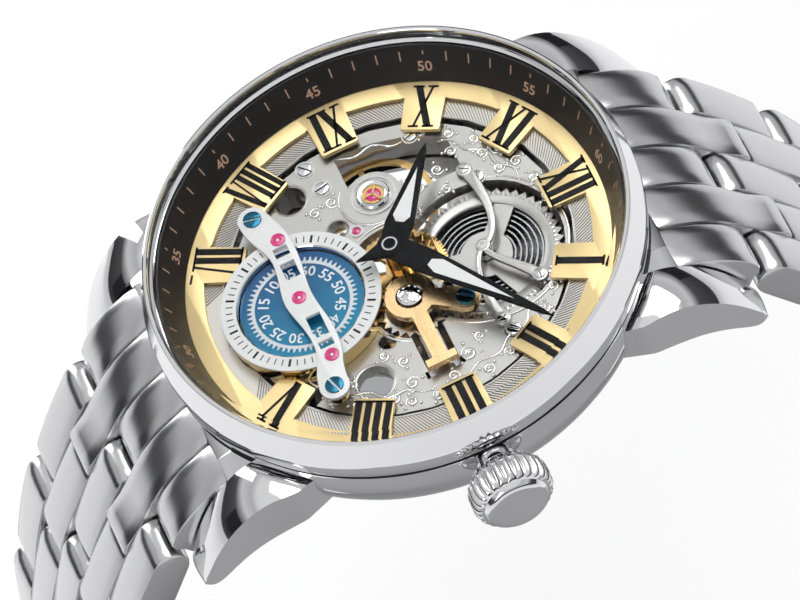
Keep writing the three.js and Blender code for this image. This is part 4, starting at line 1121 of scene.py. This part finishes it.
# ---- Small seconds -------------------------------------------------------------------------------
BRIDGE_FEET = ((-9.15, SECONDS[1] - 0.65), (9.4, SECONDS[1] - 0.55))


def bezier(a, b, c, d, steps=14):
    rows = []
    for i in range(1, steps + 1):
        t = i / steps
        s = 1 - t
        rows.append(tuple(s ** 3 * p + 3 * s * s * t * q + 3 * s * t * t * r + t ** 3 * u for p, q, r,
                          u in zip(a, b, c, d)))
    return rows


def bridge_outline():
    y = SECONDS[1]
    (lx, ly), (rx, ry) = BRIDGE_FEET
    loop = [(lx - 0.2, ly - 1.25)]
    loop += bezier(loop[-1], (lx + 2.4, ly - 1.2), (lx + 2.8, y - 0.95), (-4.6, y - 0.75))
    loop += bezier(loop[-1], (-2.8, y - 0.65), (-1.4, y - 1.3), (0, y - 1.3))
    loop += bezier(loop[-1], (1.4, y - 1.3), (2.8, y - 0.6), (4.8, y - 0.65))
    loop += bezier(loop[-1], (7, y - 0.7), (rx - 2.6, ry - 0.9), (rx - 0.3, ry - 1.25))
    loop += arc((rx, ry), 1.28, -1.8, 1.8, 24)
    loop += bezier(loop[-1], (rx - 2.4, ry + 1.4), (7, y + 1.45), (4.8, y + 1.5))
    loop += bezier(loop[-1], (2.8, y + 1.55), (1.6, y + 1.1), (0, y + 1.1))
    loop += bezier(loop[-1], (-1.6, y + 1.1), (-2.8, y + 1.5), (-4.6, y + 1.5))
    loop += bezier(loop[-1], (-7, y + 1.5), (lx + 2, ly + 1.9), (lx - 0.3, ly + 1.25))
    loop += arc((lx, ly), 1.28, 1.8, TAU - 1.8, 24)[:-1]
    return loop


def seconds():
    y = SECONDS[1]
    # White minute ring on a gold wall.
    track = lathe("seconds_track", [(5.4, 0.80), (6.71, 0.80), (6.74, 0.84), (6.74, 0.97), (6.70, 1.0),
                                    (5.44, 1.0), (5.4, 0.96)], WHITE, "case", 128, SECONDS, smooth=30)
    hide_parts("seconds_ring")
    wall = lathe("seconds_wall", square(6.05, 6.64, -0.69, 0.72), EDGE_GOLD, "case", 128, SECONDS,
                 smooth=30)
    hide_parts("seconds_seat")
    ticks = []
    for i in range(60):
        a = i * TAU / 60
        major = i % 5 == 0
        reach = 0.36 if major else 0.28
        ticks.append((polar(SECONDS, 5.98, a), a, reach, 0.10 if major else 0.045, 0.99, 1.012))
    boxes("seconds_ticks", ticks, BLACK, "case")
    lathe("seconds_inner_rim", [(5.28, 0.55), (5.40, 0.55), (5.40, 0.98), (5.30, 0.90)], POLISHED, "case",
          128, SECONDS, smooth=30)

    disc = lathe("seconds_blue", square(0.3, 5.2, 0.20, 0.42), BLUE, "seconds", 128, SECONDS,
                 smooth=30)
    lathe("seconds_hub", square(0.25, 0.6, 0.1, 0.75), POLISHED, "seconds", 32, SECONDS)
    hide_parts("seconds_disc")
    gear = toothed(SECONDS, 4.62, 60, 0.36)
    flat("seconds_silver_gear", [gear, ring(SECONDS, 3.98, 128)], 0.415, 0.44, SILVER_PRINT, "seconds")
    figures = []
    for k in range(12):
        value = (k + 1) * 5
        a = math.pi + k * TAU / 12
        figures.append((f"{value:02d}", polar(SECONDS, 3.2, a), a - math.pi / 2, DIAL_Z + 0.428, 0.0))
    text_mesh("seconds_figures", figures, 1.30, 0.02, WHITE, "seconds")

    windows = []
    for x0, x1 in ((-5.5, -4.5), (-3.8, -2.1), (2.1, 4.4), (4.9, 5.6)):
        windows.append([(x0, y - 0.28), (x1, y - 0.28), (x1, y + 0.95), (x0, y + 0.95)])
    bridge = flat("seconds_bridge_white", [bridge_outline(), *windows], 1.08, 1.45, WHITE, "case", 0.05)
    feet = [lathe("foot", square(0.0, 0.9, 0.05, 1.1), EDGE_GOLD, "case", 40, at)
            for at in BRIDGE_FEET]
    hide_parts("seconds_bridge")
    join("seconds_bridge_feet", feet)
    for k, (at, angle) in enumerate(zip(BRIDGE_FEET, (1.35, 0.3))):
        screw(f"bridge_screw_{k + 1}", at, 0.78, 1.58, BLUED, angle, thick=0.16)
    for k, at in enumerate(((-6.2, y + 0.5), (0.0, y), (6.55, y + 0.35))):
        lathe(f"bridge_ruby_{k + 1}", [(0.12, 1.40), (0.62, 1.40), (0.62, 1.50), (0.50, 1.56), (0.20, 1.54),
                                       (0.12, 1.46)], RUBY, "case", 48, at, smooth=40)
        domes(f"bridge_pivot_{k + 1}", [(at, 0.16, 1.44, 0.08)], WHITE, "case", sides=16)


# ---- Hands ---------------------------------------------------------------------------------------
def hands():
    for name, node, body, length, width, angle, low in (
        ("hour_hand_black", "hour_hand", "hour", 10.35, 2.5, 308, 2.02),
        ("minute_hand_black", "minute_hand", "center", 16.2, 2.3, 55.5, 2.44),
    ):
        a = -math.radians(angle)

        def spun(points, turn=a):
            c, s = math.cos(turn), math.sin(turn)
            return [(x * c - y * s, x * s + y * c) for x, y in points]

        outline = [
            (0, length), (-width * 0.10, length * 0.93), (-width * 0.22, length * 0.72),
            (-width / 2, length * 0.24), (-1.12, 0.35), (-2.6, -1.7), (0, -0.95), (2.6, -1.7),
            (1.12, 0.35), (width / 2, length * 0.24), (width * 0.22, length * 0.72),
            (width * 0.10, length * 0.93),
        ]
        blade = flat(name, [spun(outline)], low, low + 0.2, HAND_BLACK, body, 0.05)
        lume = [(0, length * 0.76), (-width * 0.30, length * 0.30), (-width * 0.14, length * 0.245),
                (width * 0.14, length * 0.245), (width * 0.30, length * 0.30)]
        flat(f"{name}_lume", [spun(lume)], low + 0.16, low + 0.215, LUME, body)
        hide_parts(node)
    lathe("hand_cap", [(0.0, 2.62), (1.1, 2.62), (1.1, 2.72), (0.92, 2.80), (0.62, 2.80), (0.56, 2.72),
                       (0.0, 2.72)], HAND_BLACK, "center", 64)
    lathe("hand_cap_ring", square(0.52, 0.66, 2.71, 2.84), POLISHED, "center", 64)


# ---- Stage, light and camera ---------------------------------------------------------------------
def softbox(name, where, target, width, height, power, color=(1, 1, 1)):
    light = bpy.data.lights.new(name, "AREA")
    light.shape = "RECTANGLE"
    light.size = width
    light.size_y = height
    light.energy = power
    light.color = color
    holder = bpy.data.objects.new(name, light)
    bpy.context.scene.collection.objects.link(holder)
    holder.location = where
    holder.rotation_euler = (Vector(target) - Vector(where)).to_track_quat("-Z", "Y").to_euler()
    return holder


def card(name, where, target, width, height, material):
    """A card out of the camera's sight that the polished steel mirrors."""
    mesh = bpy.data.meshes.new(name)
    mesh.from_pydata([(-width / 2, -height / 2, 0), (width / 2, -height / 2, 0), (width / 2, height / 2, 0),
                      (-width / 2, height / 2, 0)], [], [(0, 1, 2, 3)])
    mesh.materials.append(material)
    piece = bpy.data.objects.new(name, mesh)
    bpy.context.scene.collection.objects.link(piece)
    piece.location = where
    piece.rotation_euler = (Vector(target) - Vector(where)).to_track_quat("-Z", "Y").to_euler()
    piece.visible_camera = False
    return piece


def studio_world():
    """Bright overhead and dark towards the horizon, as in a light tent with black sides."""
    world = bpy.data.worlds.new("studio")
    bpy.context.scene.world = world
    world.use_nodes = True
    tree = world.node_tree
    background = tree.nodes["Background"]
    where = tree.nodes.new("ShaderNodeTexCoord")
    split = tree.nodes.new("ShaderNodeSeparateXYZ")
    ramp = tree.nodes.new("ShaderNodeValToRGB")
    tree.links.new(where.outputs["Generated"], split.inputs["Vector"])
    tree.links.new(split.outputs["Z"], ramp.inputs["Fac"])
    tree.links.new(ramp.outputs["Color"], background.inputs["Color"])
    stops = ramp.color_ramp.elements
    stops[0].position = 0.0
    stops[0].color = (0.05, 0.05, 0.055, 1)
    stops[1].position = 1.0
    stops[1].color = (1.0, 1.0, 1.0, 1)
    for position, level in ((0.30, 0.10), (0.48, 0.80), (0.70, 0.62), (0.80, 0.95)):
        stop = stops.new(position)
        stop.color = (level, level, level * 1.01, 1)
    background.inputs["Strength"].default_value = 0.80


def studio():
    floor_mesh = bpy.data.meshes.new("floor")
    half = 4.0
    z = FLOOR_Z * MM
    floor_mesh.from_pydata([(-half, -half, z), (half, -half, z), (half, half, z), (-half, half, z)], [],
                           [(0, 1, 2, 3)])
    material, _, shader = nodes_of("pale floor")
    shader.inputs["Base Color"].default_value = (0.97, 0.97, 0.97, 1)
    shader.inputs["Emission Color"].default_value = (1, 1, 1, 1)
    shader.inputs["Emission Strength"].default_value = 0.06
    shader.inputs["Roughness"].default_value = 0.9
    shader.inputs["Specular IOR Level"].default_value = 0.1
    floor_mesh.materials.append(material)
    floor = bpy.data.objects.new("floor", floor_mesh)
    bpy.context.scene.collection.objects.link(floor)

    studio_world()

    dark, _, shade = nodes_of("dark card")
    shade.inputs["Base Color"].default_value = (0.012, 0.012, 0.014, 1)
    shade.inputs["Roughness"].default_value = 1
    center = (0, 0, 0)
    grey, _, shade = nodes_of("grey card")
    shade.inputs["Base Color"].default_value = (0.42, 0.42, 0.43, 1)
    shade.inputs["Roughness"].default_value = 1
    below = card("card_below", (0.035, 0, -0.060), (0.035, 0, 1), 0.150, 0.074, grey)
    front = card("card_below_front", (0.066, 0, -0.0605), (0.066, 0, 1), 0.100, 0.180, grey)
    for piece in (below, front):
        piece.visible_shadow = False
        piece.visible_diffuse = False
    card("card_right", (0.55, -0.30, 0.05), center, 0.22, 0.36, dark)
    card("card_low_left", (-0.10, -0.62, 0.12), center, 0.40, 0.16, dark)
    card("card_far", (-0.52, 0.34, 0.10), center, 0.36, 0.20, dark)
    softbox("key", (-0.25, 0.25, 0.75), center, 0.55, 0.55, 2.6)
    softbox("fill", (0.55, -0.55, 0.45), center, 0.30, 0.60, 1.2)
    softbox("rim", (-0.60, -0.25, 0.25), center, 0.20, 0.55, 1.0)


def camera():
    """From the 3 o'clock side, above, turned so that 12 o'clock points right."""
    right = Vector((0.3616, 0.9024, -0.2343))
    up = Vector((-0.7216, 0.4300, 0.5425))
    back = right.cross(up).normalized()
    up = back.cross(right).normalized()
    right.normalize()
    # The dial's middle seen from the camera: a little off the axis, and 700 mm away.
    offset = Vector((-0.152, 2.938, -700.0))
    dial = Vector((0, 0, DIAL_Z))
    place = dial - (right * offset.x + up * offset.y + back * offset.z)
    lens = bpy.data.cameras.new("camera")
    lens.type = "PERSP"
    lens.sensor_width = 36
    lens.lens = 388.24
    lens.clip_start = 0.05
    lens.clip_end = 20
    holder = bpy.data.objects.new("camera", lens)
    bpy.context.scene.collection.objects.link(holder)
    holder.matrix_world = Matrix((
        (right.x, up.x, back.x, place.x * MM),
        (right.y, up.y, back.y, place.y * MM),
        (right.z, up.z, back.z, place.z * MM),
        (0, 0, 0, 1),
    ))
    bpy.context.scene.camera = holder


def main():
    case_parts()
    crown()
    crystal()
    bracelet()
    clasp()
    dial()
    movement()
    seconds()
    hands()
    studio()
    camera()
    bpy.context.scene.view_settings.view_transform = "Standard"


main()
